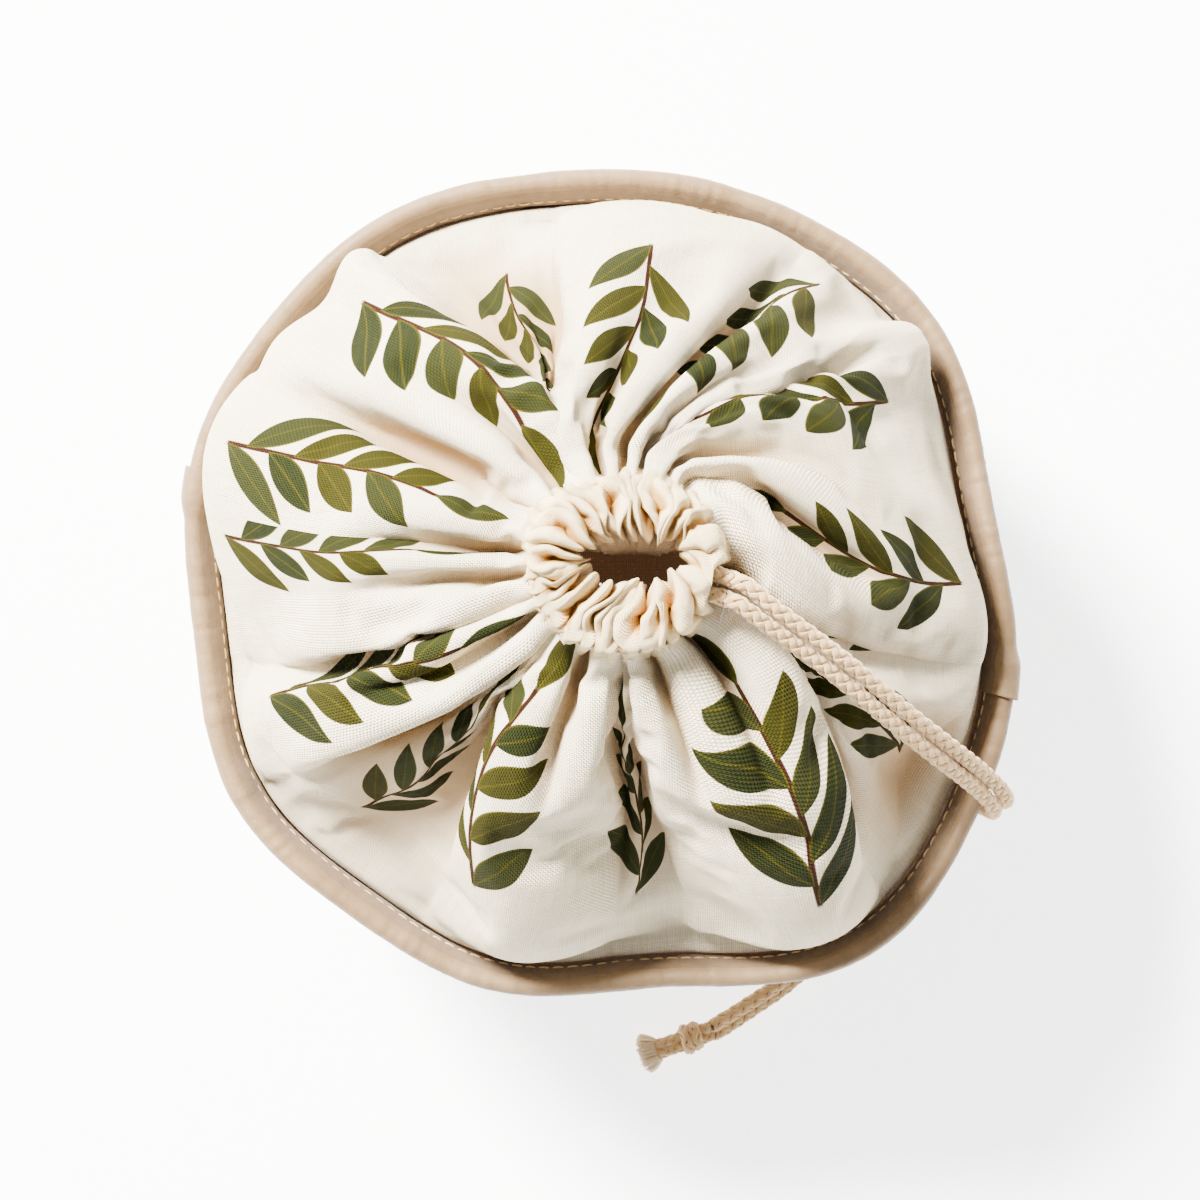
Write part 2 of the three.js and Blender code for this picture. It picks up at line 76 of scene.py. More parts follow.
# Casing and drawstring
CASING_OUTER = 33
CASING_INNER = 11
CASING_HEIGHT = 14
CORD = 5
CORD_SPACING = 5.6
PULL_ANGLE = -20
EXIT_OFFSET = 4.5
EXIT_BEND = 8.5
EXIT_INSET = 1.6
STRAND_LEAD = 3
KNOT = (14.5, 11.5, 11)
KNOT_ANGLE = 200
KNOT_CENTRE = (28.9, -146, 5.7)
KNOT_GAP = 0.6
END_FLARE = 3.1
TABLE_GAP = 0.1

# Route of each strand from the casing to the knot
STRAND_A_ROUTE = [
    (42.4, -2.7, 188.1), (47.2, -6.8, 185.8), (53.4, -11.1, 182), (60, -15.4, 177.8),
    (66.4, -19.8, 173.9), (73, -24.6, 169), (80, -30.3, 163.2), (86.9, -36.3, 156.6),
    (94.1, -41.9, 149.2), (101.2, -47.2, 140.8), (107.6, -51.9, 131.4), (112.8, -56, 122.4),
    (117, -59.6, 115.8), (119.6, -62.6, 110), (120.6, -64.2, 103), (120.4, -65.2, 91),
    (119.8, -66.8, 75), (118.8, -68.6, 58), (118.1, -69.8, 40), (117.5, -70.8, 24), (116.1, -72.3, 9.9),
    (112.7, -76.4, 5), (107.8, -81.9, 2.8), (96, -94.7, 2.8), (84, -107.6, 2.8), (72.5, -119.7, 2.8),
    (61.2, -130.6, 2.9), (49, -139, 3.2), (42.8, -142.8, 4.4),
]
STRAND_B_ROUTE = [
    (40.4, -8, 187.7), (44.4, -11, 185.2), (50, -15, 181.4), (56, -19.8, 176.8), (62.4, -24.7, 172.4),
    (69.2, -30.2, 167.4), (76.3, -35.9, 161.9), (83.4, -41.2, 155.8), (90.6, -46.6, 148.9),
    (97.4, -51.6, 141.4), (103.8, -56.2, 132.2), (108.8, -60, 123.6), (112.8, -63.4, 116.6),
    (115.4, -66.6, 110.4), (116, -68.2, 103), (115.2, -67.8, 91), (114.2, -67.6, 75),
    (113.4, -67.6, 58), (112.9, -67.7, 40), (112.7, -68, 24), (111.4, -69.4, 9.9), (108.3, -73, 5),
    (103.8, -78.1, 2.8), (92, -90.9, 2.8), (80, -103.8, 2.8), (68.5, -115.7, 2.8), (57.6, -126.2, 2.9),
    (46.2, -134, 3.2), (40.6, -137.6, 4.4),
]

# The photograph: 1200 px across, taken from straight above
IMAGE_WIDTH = 1200
SENSOR = 36
FOCAL_PX = 3869
CAMERA_HEIGHT = 1250
CAMERA_X = -0.15
CAMERA_Y = -5.1

# Sizes that follow
FLANGE_BOTTOM = BASE_CLOTH + CLEARANCE
LINING_BOTTOM = FLANGE_BOTTOM + INSERT + CLEARANCE
WALL_OFFSET = BINDING + CLEARANCE
LINING_OFFSET = WALL_OFFSET + WALL + CLEARANCE
HEM_OFFSET = LINING_OFFSET + LINING + CLEARANCE
INNER_LEG_OFFSET = HEM_OFFSET + LINEN + CLEARANCE
DOME_OFFSET = INNER_LEG_OFFSET + BINDING + CLEARANCE
TAPE_BOTTOM = RIM_HEIGHT - BINDING_DEPTH
CASING_BOTTOM = NECK_HEIGHT + LINEN / 2 + CLEARANCE
LOOP_RADIUS = (CASING_OUTER + CASING_INNER) / 2
LOOP_HEIGHT = CASING_BOTTOM + CASING_HEIGHT / 2
EXIT_REACH = CASING_OUTER - EXIT_INSET


# Shape helpers

def set_all(target, **values):
    for key, value in values.items():
        setattr(target, key, value)


def waves(terms, angle):
    return sum(reach * np.cos(count * (angle - math.radians(crest))) for count, reach, crest in terms)


def eased(t):
    return t * t * (3 - 2 * t)


def smooth(x, low, high):
    return eased(np.clip((x - low) / (high - low), 0, 1))


def body_radius(z):
    share = np.minimum(np.asarray(z, float) / RIM_HEIGHT, 1)
    return BASE_RADIUS + (RIM_RADIUS - BASE_RADIUS) * share + WALL_BULGE * np.sin(np.pi * share)


def place(r, z, angle):
    """A point of the bag, bowed with the rim and, above it, drawn towards the mouth."""
    r, z, angle = np.broadcast_arrays(np.asarray(r, float), np.asarray(z, float), np.asarray(angle, float))
    over_rim = np.where(z > RIM_HEIGHT, smooth(r, NECK_RADIUS, RIM_RADIUS - DOME_OFFSET), 1.0)
    soft = smooth(z, 0, RIM_HEIGHT) * over_rim
    reach = r + waves(RIM_WAVES, angle) * soft
    x = reach * np.cos(angle) + MOUTH[0] * (1 - over_rim)
    y = reach * np.sin(angle) + MOUTH[1] * (1 - over_rim)
    return np.stack([x, y, z + waves(RIM_LIFTS, angle) * soft], -1)


def smooth_noise(x, seed, period):
    """One-dimensional noise from -1 to 1 that repeats after period whole steps."""
    values = np.random.default_rng(seed).uniform(-1, 1, period)
    cell = np.floor(x).astype(int)
    t = eased(x - cell)
    return values[cell % period] * (1 - t) + values[(cell + 1) % period] * t


def noise_2d(x, y, seed, period):
    """Smooth noise from -1 to 1 over a plane that repeats in x after period whole steps."""
    values = np.random.default_rng(seed).uniform(-1, 1, (period, 64))
    x, y = np.broadcast_arrays(np.asarray(x, float), np.asarray(y, float))
    i, j = np.floor(x).astype(int), np.floor(y).astype(int)
    s, t = eased(x - i), eased(y - j)
    near, far = (values[i % period, row] * (1 - s) + values[(i + 1) % period, row] * s
                 for row in (j % 64, (j + 1) % 64))
    return near * (1 - t) + far * t


def surface_tree(points):
    """A closed grid of points, to measure heights on."""
    return BVHTree.FromPolygons(points.reshape(-1, 3).tolist(), grid_faces(*points.shape[:2], True))


def height_under(tree, x, y, otherwise):
    """Height of a surface at a place, seen from above."""
    hit = tree.ray_cast(Vector((float(x), float(y), 260.0)), Vector((0, 0, -1)))[0]
    return hit.z if hit else otherwise


def round_mouth(points):
    """Way in x and y from the middle of the mouth, its length, and the angle round the mouth."""
    x, y = points[..., 0] - MOUTH[0], points[..., 1] - MOUTH[1]
    return x, y, np.hypot(x, y), np.arctan2(y, x)


def pairs(u, v):
    """Places in the cloth where the rows and columns of a grid cross."""
    return np.stack(np.broadcast_arrays(u, v), -1)


def grid_faces(rows, cols, closed=False):
    """Quads of a grid of points, row by row; closed joins the last column to the first."""
    index = np.arange(rows * cols).reshape(rows, cols)
    if closed:
        index = np.hstack([index, index[:, :1]])
    corners = [index[:-1, :-1], index[:-1, 1:], index[1:, 1:], index[1:, :-1]]
    return np.stack(corners, -1).reshape(-1, 4).tolist()


def make_object(name, points, faces, materials, uv=None, attributes=None, face_materials=None):
    """A mesh object from points in millimetres."""
    mesh = bpy.data.meshes.new(name)
    mesh.from_pydata((np.asarray(points, float).reshape(-1, 3) * MM).tolist(), [], faces)
    for material in materials:
        mesh.materials.append(material)
    if uv is not None:
        layer = mesh.uv_layers.new(name="UVMap")
        loops = np.zeros(len(mesh.loops), int)
        mesh.loops.foreach_get("vertex_index", loops)
        layer.data.foreach_set("uv", np.asarray(uv, float).reshape(-1, 2)[loops].ravel())
    for key, values in (attributes or {}).items():
        attribute = mesh.attributes.new(key, "FLOAT", "POINT")
        attribute.data.foreach_set("value", np.asarray(values, np.float32).ravel())
    mesh.polygons.foreach_set("use_smooth", np.ones(len(mesh.polygons), bool))
    if face_materials is not None:
        mesh.polygons.foreach_set("material_index", np.asarray(face_materials, int))
    mesh.update()
    obj = bpy.data.objects.new(name, mesh)
    bpy.context.scene.collection.objects.link(obj)
    return obj


def make_sheet(name, points, materials, uv, closed=False, **more):
    """A cloth on a grid of points, smoothed once."""
    obj = make_object(name, points, grid_faces(*points.shape[:2], closed), materials, uv, **more)
    set_all(obj.modifiers.new("smooth", "SUBSURF"), levels=1, render_levels=1)
    return obj


def thicken(obj, thickness):
    """Gives a cloth its thickness, half of it to either side."""
    set_all(obj.modifiers.new("thickness", "SOLIDIFY"), thickness=thickness * MM, offset=0)
    return obj


def belongs(obj, body, slot, *nodes):
    """The piece rides on a body and stands for these nodes, which it hides; slot is not used."""
    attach(obj, body)
    if nodes:
        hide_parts(*nodes)
    return obj


def unit(vectors):
    """Vectors, one in each row, at length one."""
    return vectors / np.linalg.norm(vectors, axis=-1, keepdims=True)


def steps_along(line):
    return np.linalg.norm(np.diff(line, axis=0), axis=1)


def lengths_along(line):
    """Length of a line from its start to each of its points."""
    return np.concatenate([[0], np.cumsum(steps_along(line))])


def read_at(want, known, table):
    """Every column of a table, known at some places and wanted at others."""
    return np.stack([np.interp(want, known, column) for column in table.T], -1)


def blurred(values, reach):
    """Running mean over the neighbours on both sides."""
    count = 2 * reach + 1
    return np.convolve(np.pad(values, reach, mode="edge"), np.ones(count) / count, mode="valid")


def between(s, step, start, leave, end, arrive):
    """Smooth way over one step from start to end, with the slope there at each."""
    return ((2 * s ** 3 - 3 * s * s + 1) * start + (s ** 3 - 2 * s * s + s) * step * leave
            + (-2 * s ** 3 + 3 * s * s) * end + (s ** 3 - s * s) * step * arrive)


def curve_through(points, spacing):
    """Points at an even spacing on a centripetal Catmull-Rom curve."""
    p = np.asarray(points, float)
    p = np.vstack([2 * p[0] - p[1], p, 2 * p[-1] - p[-2]])
    gaps = np.maximum(np.sqrt(steps_along(p)), 1e-6)
    u = np.linspace(0, 1, 24, endpoint=False)[:, None]
    fine = []
    for i in range(1, len(p) - 2):
        t0, t1, t2 = gaps[i - 1:i + 2]
        slope1 = (p[i] - p[i - 1]) / t0 - (p[i + 1] - p[i - 1]) / (t0 + t1) + (p[i + 1] - p[i]) / t1
        slope2 = (p[i + 1] - p[i]) / t1 - (p[i + 2] - p[i]) / (t1 + t2) + (p[i + 2] - p[i + 1]) / t2
        fine.append(between(u, t1, p[i], slope1, p[i + 1], slope2))
    fine = np.vstack([*fine, p[-2:-1]])
    along = lengths_along(fine)
    count = max(int(round(along[-1] / spacing)), 2)
    return read_at(np.linspace(0, along[-1], count + 1), along, fine)


def frames_along(line):
    """Two crosswise directions at each point of a line, turning as little as they can."""
    tangent = unit(np.gradient(line, axis=0))
    side = np.cross(tangent[0], [0, 0, 1.0])
    if np.linalg.norm(side) < 0.1:
        side = np.cross(tangent[0], [0, 1.0, 0])
    sides = []
    for t in tangent:
        side = side - t * (side @ t)
        side /= np.linalg.norm(side)
        sides.append(side)
    return np.array(sides), np.cross(tangent, sides)


def ring_angles(count):
    return np.arange(count) / count * 2 * np.pi


def tube_faces(rows, sides):
    """Faces of a tube with both ends closed."""
    last = (rows - 1) * sides
    return [*grid_faces(rows, sides, True), tuple(range(sides))[::-1], tuple(range(last, last + sides))]


def tube(line, radius, sides):
    """Points and faces of a round tube; radius may vary along the line."""
    side, up = frames_along(line)
    radius = np.broadcast_to(radius, len(line))[:, None, None]
    turn = ring_angles(sides)[None, :, None]
    points = line[:, None] + (side[:, None] * np.cos(turn) + up[:, None] * np.sin(turn)) * radius
    return points.reshape(-1, 3), tube_faces(len(line), sides)


def merge(parts):
    """Several (points, faces) as one."""
    points, faces, first = [], [], 0
    for own_points, own_faces in parts:
        points.append(own_points)
        faces += [tuple(k + first for k in face) for face in own_faces]
        first += len(own_points)
    return np.vstack(points), faces


def thread_uv(count, sides, along, across):
    """Places in the yarn of the points of thin tubes, ring after ring."""
    k = np.arange(count)
    return np.stack([k * along, k % sides * across], -1)


def thread_object(name, tubes, material, along):
    """Thin six-sided threads as one object."""
    points, faces = merge(tubes)
    uv = thread_uv(len(points), 6, along, 0.4)
    return make_object(name, points, faces, [material], uv, {"depth": np.zeros(len(points))})


# Materials

def srgb(code):
    """Linear colour from a hex code."""
    parts = [int(code[k:k + 2], 16) / 255 for k in (1, 3, 5)]
    linear = [c / 12.92 if c <= 0.04045 else ((c + 0.055) / 1.055) ** 2.4 for c in parts]
    return (*linear, 1.0)


class Value:
    """A shader value that is added and multiplied like a number."""

    def __init__(self, nodes, socket):
        self.nodes = nodes
        self.socket = socket

    def do(self, operation, *others):
        return self.nodes.math(operation, self, *others)

    def __add__(self, other):
        return self.do("ADD", other)

    def __sub__(self, other):
        return self.do("SUBTRACT", other)

    def __rsub__(self, other):
        return self.nodes.math("SUBTRACT", other, self)

    def __mul__(self, other):
        return self.do("MULTIPLY", other)

    def __truediv__(self, other):
        return self.do("DIVIDE", other)


class Nodes:
    """A new material, with short ways to add and link its shader nodes."""

    def __init__(self, name, roughness, sheen=0.0, subsurface=0.0, specular=0.25):
        self.material = bpy.data.materials.new(name)
        self.material.use_nodes = True
        self.tree = self.material.node_tree
        self.surface("Roughness", roughness)
        self.surface("Specular IOR Level", specular)
        self.surface("Sheen Weight", sheen)
        self.surface("Sheen Roughness", 0.5)
        if subsurface:
            self.surface("Subsurface Weight", subsurface)
            self.surface("Subsurface Radius", (1.0, 0.6, 0.35))
            self.surface("Subsurface Scale", 0.003)

    def surface(self, name, value):
        """Sets one input of the surface, or feeds it."""
        self.put(self.tree.nodes["Principled BSDF"].inputs[name], value)

    def glow(self, colour, strength):
        self.surface("Emission Color", colour)
        self.surface("Emission Strength", strength)

    def toned(self, tone, low, high, dark_colour, colour):
        """A colour that goes with the tone from the dark one to the full one."""
        return self.mix(self.scaled(tone, low, high, 0.0, 1.0), srgb(dark_colour), srgb(colour))

    def add(self, kind, **settings):
        node = self.tree.nodes.new(kind)
        set_all(node, **settings)
        return node

    def put(self, socket, value):
        if isinstance(value, Value):
            value = value.socket
        if isinstance(value, bpy.types.NodeSocket):
            self.tree.links.new(value, socket)
        else:
            socket.default_value = value

    def fed(self, node, *values):
        """The node's result, with its inputs filled in order."""
        for socket, value in zip(node.inputs, values):
            self.put(socket, value)
        return Value(self, node.outputs[0])

    def named(self, kind, output, settings=None, **inputs):
        """One output of a new node, with its inputs filled by name."""
        node = self.add(kind, **(settings or {}))
        for key, value in inputs.items():
            self.put(node.inputs[key], value)
        return Value(self, node.outputs[output])

    def math(self, operation, *values):
        return self.fed(self.add("ShaderNodeMath", operation=operation), *values)

    def step(self, value, low, high):
        return self.scaled(value, low, high, 0.0, 1.0, "SMOOTHSTEP")

    def scaled(self, value, low, high, to_low, to_high, kind="LINEAR"):
        node = self.add("ShaderNodeMapRange", interpolation_type=kind)
        return self.fed(node, value, low, high, to_low, to_high)

    def vector(self, x, y, z=0.0):
        return self.fed(self.add("ShaderNodeCombineXYZ"), x, y, z)

    def noise(self, vector, scale=1.0, detail=2.0, roughness=0.5):
        return self.named("ShaderNodeTexNoise", "Fac", Vector=vector, Scale=scale, Detail=detail,
                          Roughness=roughness)

    def random(self, vector):
        return self.named("ShaderNodeTexWhiteNoise", "Value", {"noise_dimensions": "3D"}, Vector=vector)

    def attribute(self, name):
        return self.named("ShaderNodeAttribute", "Fac", {"attribute_name": name})

    def mix(self, share, a, b, blend="MIX"):
        node = self.add("ShaderNodeMix", data_type="RGBA", blend_type=blend)
        for key, value in (("Factor", share), (6, a), (7, b)):
            self.put(node.inputs[key], value)
        return node.outputs[2]

    def bump(self, height, distance, strength):
        return self.named("ShaderNodeBump", "Normal", Strength=strength, Distance=distance, Height=height)

    def cloth_place(self):
        """Place in the cloth, in millimetres across and along."""
        node = self.add("ShaderNodeSeparateXYZ")
        self.put(node.inputs[0], self.add("ShaderNodeTexCoord").outputs["UV"])
        return Value(self, node.outputs[0]), Value(self, node.outputs[1])

    def solid_place(self):
        """Place in the object, in metres."""
        return self.add("ShaderNodeTexCoord").outputs["Object"]


def weave(n, u, v, pitch):
    """Plain weave: height of the threads, how deep between them, and uneven yarn."""
    a, b = u / pitch, v / pitch
    over = (a.do("FLOOR") + b.do("FLOOR")).do("PINGPONG", 1.0)
    warp, weft = ((place_in * math.pi).do("SINE").do("ABSOLUTE") for place_in in (a, b))
    height = warp * over + weft * (1.0 - over)
    slub_warp = n.noise(n.vector(a * 0.8, b * 0.035), 1.0, 3.0)
    slub_weft = n.noise(n.vector(a * 0.03, b * 0.8, 7.0), 1.0, 3.0)
    return height, warp * weft, (slub_warp + slub_weft) * 0.5


WRINKLES = 6.0
# Painted shade in the open gaps between the threads: what is left of the colour there
WEAVE_GAP_SHADE = (0.52, 0.46, 0.38, 1)
# Light that comes through the linen and warms the inside of the closed bag
LINING_GLOW = (0.055, 0.026, 0.012, 1)


def woven_material(name, colour, gap_colour, pitch, pattern=None, crease=None, glow=None):
    """Plain-woven cloth. Down in its folds the colour goes over to the crease colour, which is painted shade.
    """
    n = Nodes(name, 0.9, specular=0.06)
    if glow:
        n.glow(glow, 1.0)
    u, v = n.cloth_place()
    height, gap, slub = weave(n, u, v, pitch)
    tone = slub * 0.75 + n.noise(n.vector(u, v), 0.045, 3.0) * 0.25
    base = n.toned(tone, 0.36, 0.64, gap_colour, colour)
    if crease:
        # Painted shade: the deeper a point lies in the folds, the darker and warmer it gets
        base = n.mix(n.step(n.attribute("deep"), 0.08, 0.95), base, srgb(crease))
    if pattern:
        base = pattern(n, u, v, base)
    # Painted shade: the colour is darkened in the gaps between the threads
    n.surface("Base Color", n.mix(n.scaled(gap, 0.0, 0.5, 0.8, 0.0), base, WEAVE_GAP_SHADE, "MULTIPLY"))
    wrinkles = n.noise(n.vector(u * 0.09, v * 0.055), 1.0, 4.0, 0.6)
    n.surface("Normal", n.bump(height + slub + wrinkles * WRINKLES, 0.0003, 0.9))
    return n.material


# The printed linen: upright sprigs with paired pointed leaves, in staggered columns
SPRIG_PITCH = 53.1
SPRIG_FOOT = 42
SPRIG_STAGGER = 12
SPRIG_SWAY = 3.0
SPRIG_LENGTH = 70
LEAF_SPACING = 15.5
LEAF_LENGTH = 30
LEAF_HALF_WIDTH = 4.4
LEAF_TURN = 34
LEAF_CURVE = 0.0035
LEAF_ROWS = 4
TIP_LEAF_LENGTH = 24.0
STEM_HALF_WIDTH = 0.65
FAR_OUTSIDE = 50.0
DARK_GREEN = srgb("#1A200C")
OLIVE = srgb("#2B2A07")
GREY_GREEN = srgb("#262A12")
LEAF_EDGE = srgb("#413D09")
STEM_BROWN = srgb("#2C150A")


def lens(along, across, length, half_width):
    """How far inside a pointed oval a place lies, in millimetres."""
    q = along / (length * 0.5) - 1.0
    return (1.0 - q * q) * half_width - across.do("ABSOLUTE")


def leaf_layer(n, base, inside, across, along, shade):
    """Paints one leaf over the cloth: blade, midrib, lighter half and a thin bright edge."""
    ink = n.add("ShaderNodeValToRGB")
    ink.color_ramp.interpolation = "CONSTANT"
    ink.color_ramp.elements[0].color = DARK_GREEN
    ink.color_ramp.elements[1].position = 0.4
    ink.color_ramp.elements[1].color = OLIVE
    third = ink.color_ramp.elements.new(0.74)
    third.color = GREY_GREEN
    n.put(ink.inputs[0], shade)
    streaks = n.noise(n.vector(across * 0.9, along * 0.09, shade), 1.0, 3.0)
    blade = n.mix(n.scaled(streaks, 0.35, 0.7, 0.0, 0.4), ink.outputs[0], OLIVE)
    rib = 1.0 - n.step(across.do("ABSOLUTE"), 0.12, 0.4)
    blade = n.mix(rib * 0.5, blade, LEAF_EDGE)
    edge = (1.0 - n.step(inside, 0.3, 0.75)) * n.step(across, 0.0, 0.6)
    blade = n.mix(edge * 0.85, blade, LEAF_EDGE)
    return n.mix(n.step(inside, -0.1, 0.22), base, blade)


def sprig_print(n, u, v, base):
    column = (u / SPRIG_PITCH).do("FLOOR")
    odd = column.do("PINGPONG", 1.0)
    own = [n.random(n.vector(column, seed, 0.7)) for seed in (2.3, 5.1, 7.9)]
    foot = odd * SPRIG_STAGGER + n.scaled(own[0], 0.0, 1.0, -4.0, 5.0)
    y = v - SPRIG_FOOT - foot
    sway = n.scaled(own[1], 0.0, 1.0, 0.2 * SPRIG_SWAY, SPRIG_SWAY)
    bow = (y * (math.pi / SPRIG_LENGTH)).do("SINE") * sway
    x = u - (column + 0.5) * SPRIG_PITCH - bow * (1.0 - odd * 2.0)
    side = x.do("GREATER_THAN", 0.0)
    reach = x.do("ABSOLUTE")
    on_stem = n.step(y, -9.0, -7.0) * (1.0 - n.step(y, 60.0, 64.0))
    colour = n.mix(n.step(STEM_HALF_WIDTH - reach, -0.15, 0.15) * on_stem, base, STEM_BROWN)
    shifted = y + side * (LEAF_SPACING / 2)
    row = (shifted / LEAF_SPACING).do("FLOOR")
    leaf_turn = n.scaled(own[2], 0.0, 1.0, math.radians(LEAF_TURN - 6), math.radians(LEAF_TURN + 4))
    sine, cosine = leaf_turn.do("SINE"), leaf_turn.do("COSINE")
    for back in (2.0, 1.0, 0.0):
        which = row - back
        up = shifted - which * LEAF_SPACING
        along = reach * sine + up * cosine
        across = up * sine - reach * cosine + along * along * LEAF_CURVE
        size = n.random(n.vector(column, which + side * 0.43, 6.7))
        length = n.scaled(size, 0.0, 1.0, LEAF_LENGTH - 5, LEAF_LENGTH) - which * 2.6
        exists = which.do("GREATER_THAN", -0.5) * which.do("LESS_THAN", LEAF_ROWS - 0.5)
        inside = lens(along, across, length, LEAF_HALF_WIDTH) - (1.0 - exists) * FAR_OUTSIDE
        shade = n.random(n.vector(column + side * 0.37, which, 3.1))
        colour = leaf_layer(n, colour, inside, across, along, shade)
    tip = y - (SPRIG_LENGTH - 10.0)
    inside = lens(tip, x, TIP_LEAF_LENGTH, LEAF_HALF_WIDTH * 0.85)
    return leaf_layer(n, colour, inside, x, tip, n.random(n.vector(column, 9.0, 1.7)))


def leather_material(name, colour, dark_colour, roughness=0.55):
    """Soft matt leather-like cloth: fine pebbled grain, mottling and a few creases."""
    n = Nodes(name, roughness, 0.1)
    place_3d = n.solid_place()
    mottle = n.noise(place_3d, 55.0, 4.0, 0.6)
    tone = mottle * 0.7 + n.noise(place_3d, 420.0, 3.0, 0.6) * 0.3
    n.surface("Base Color", n.toned(tone, 0.35, 0.65, dark_colour, colour))
    smooth_cells = {"feature": "SMOOTH_F1"}
    pits = n.named("ShaderNodeTexVoronoi", "Distance", smooth_cells, Vector=place_3d, Scale=1500.0)
    relief = (1.0 - pits) * 0.5 + n.noise(place_3d, 160.0, 4.0) * 1.2
    n.surface("Normal", n.bump(relief, 0.00022, 0.7))
    n.surface("Roughness", n.scaled(mottle, 0.3, 0.7, roughness - 0.07, roughness + 0.1))
    return n.material


def yarn_material(name, colour, fibre_and_shade_colour):
    """Cotton yarn: fibres along the thread, and painted shade in a warmer, darker colour down between the
    yarns.
    """
    n = Nodes(name, 0.95, 0.4, 0.2)
    colour, fibre_and_shade_colour = srgb(colour), srgb(fibre_and_shade_colour)
    u, v = n.cloth_place()
    fibre = n.noise(n.vector(u * 0.8, v * 9.0), 1.0, 4.0, 0.65)
    ply = ((v * 2.4 + u * 0.7) * 3.2).do("SINE")
    tone = n.mix(n.scaled(fibre, 0.3, 0.75, 0.35, 0.0), colour, fibre_and_shade_colour)
    # Painted shade: the deeper a point lies between the yarns, the more it takes the darker colour
    n.surface("Base Color", n.mix(n.step(n.attribute("depth"), 0.26, 0.7), tone, fibre_and_shade_colour))
    n.surface("Normal", n.bump(fibre + ply * 0.22, 0.00025, 0.8))
    return n.material


def felt_material(name, colour, dark_colour):
    n = Nodes(name, 0.95, 0.3)
    place_3d = n.solid_place()
    fibres = n.noise(place_3d, 900.0, 5.0, 0.7)
    tone = fibres * 0.6 + n.noise(place_3d, 70.0, 3.0) * 0.4
    n.surface("Base Color", n.toned(tone, 0.35, 0.65, dark_colour, colour))
    n.surface("Normal", n.bump(fibres, 0.0003, 0.8))
    return n.material


PAPER_DARK = (0.93, 0.93, 0.93, 1)
PAPER_LIGHT = (0.95, 0.95, 0.95, 1)
PAPER_GLOW = 3.4


def floor_material():
    n = Nodes("floor_paper", 0.85)
    speckle = n.noise(n.solid_place(), 300.0, 3.0)
    n.surface("Base Color", n.mix(speckle, PAPER_DARK, PAPER_LIGHT))
    n.glow((1, 1, 1, 1), PAPER_GLOW)
    return n.material


# The last colour of the printed linen and of the casing cotton is painted shade down in their folds
linen_print = woven_material("linen_print", "#F3E9D0", "#DCCCA8", 0.55, sprig_print, "#BC9E76")
casing_cotton = woven_material("casing_cotton", "#FDE9BE", "#F6DAA2", 0.45, crease="#D2A25A")
# Inside of the casing, seen down in the hole: the same cotton, darkened as painted shade
casing_inside_shade = woven_material("casing_inside_shade", "#E0CBB2", "#C9B297", 0.45)
lining_linen = woven_material("lining_linen", "#C4B297", "#A8937A", 0.6, glow=LINING_GLOW)
tape_leather = leather_material("tape_leather", "#786144", "#685238")
# Inside leg of the tape: darker for its rougher reverse side and for painted shade
tape_reverse_and_shade = leather_material("tape_reverse_and_shade", "#6C5740", "#564430", 0.7)
wall_leather = leather_material("wall_leather", "#7D6547", "#6E573B", 0.6)
base_leather = leather_material("base_leather", "#796144", "#6B5539", 0.65)
insert_felt = felt_material("insert_felt", "#B9A98F", "#9C8B70")
# The second colour of the cord is painted shade down between its yarns, which also tints some fibres
cord_cotton = yarn_material("cord_cotton", "#D6B078", "#92541C")
# The cord's core shows only down between the yarns; it is painted all in its darker second colour, as shade
cord_core_shade = yarn_material("cord_core_shade", "#B98650", "#8F5A28")
fray_cotton = yarn_material("fray_cotton", "#FFE0B0", "#E6BE86")
tan_thread = yarn_material("tan_thread", "#CFA566", "#8F6A3A")
white_thread = yarn_material("white_thread", "#F7F5EF", "#D8D2C4")


# Camera

def make_camera():
    camera = bpy.data.cameras.new("camera")
    camera.sensor_width = SENSOR
    camera.lens = SENSOR * FOCAL_PX / IMAGE_WIDTH
    obj = bpy.data.objects.new("camera", camera)
    obj.location = Vector((CAMERA_X, CAMERA_Y, CAMERA_HEIGHT)) * MM
    bpy.context.scene.collection.objects.link(obj)
    bpy.context.scene.camera = obj


make_camera()


# Drawstring: an eight-yarn braid over a soft core

BRAID_PITCH = 19
BRAID_YARNS = 4
YARN_HALF_WIDTH = 1.12
YARN_HALF_THICKNESS = 0.52
BRAID_STEP = 0.8
YARN_SIDES = 8
BRAID_LIFT = 0.3
CORE_INSET = 0.25
# Depth under the cord's surface at which the shade between the yarns is full, and how far apart in the
# pattern of the fibres the yarns of one hand and the two hands lie
SHADE_DEPTH = 1.15
YARN_APART = 31.7
HANDS_APART = 5


def merge_threads(parts):
    """Several (points, faces, uv, depth, material of each face) as one."""
    _, _, uv, depth, kinds = zip(*parts)
    return *merge([part[:2] for part in parts]), np.vstack(uv), np.concatenate(depth), sum(kinds, [])


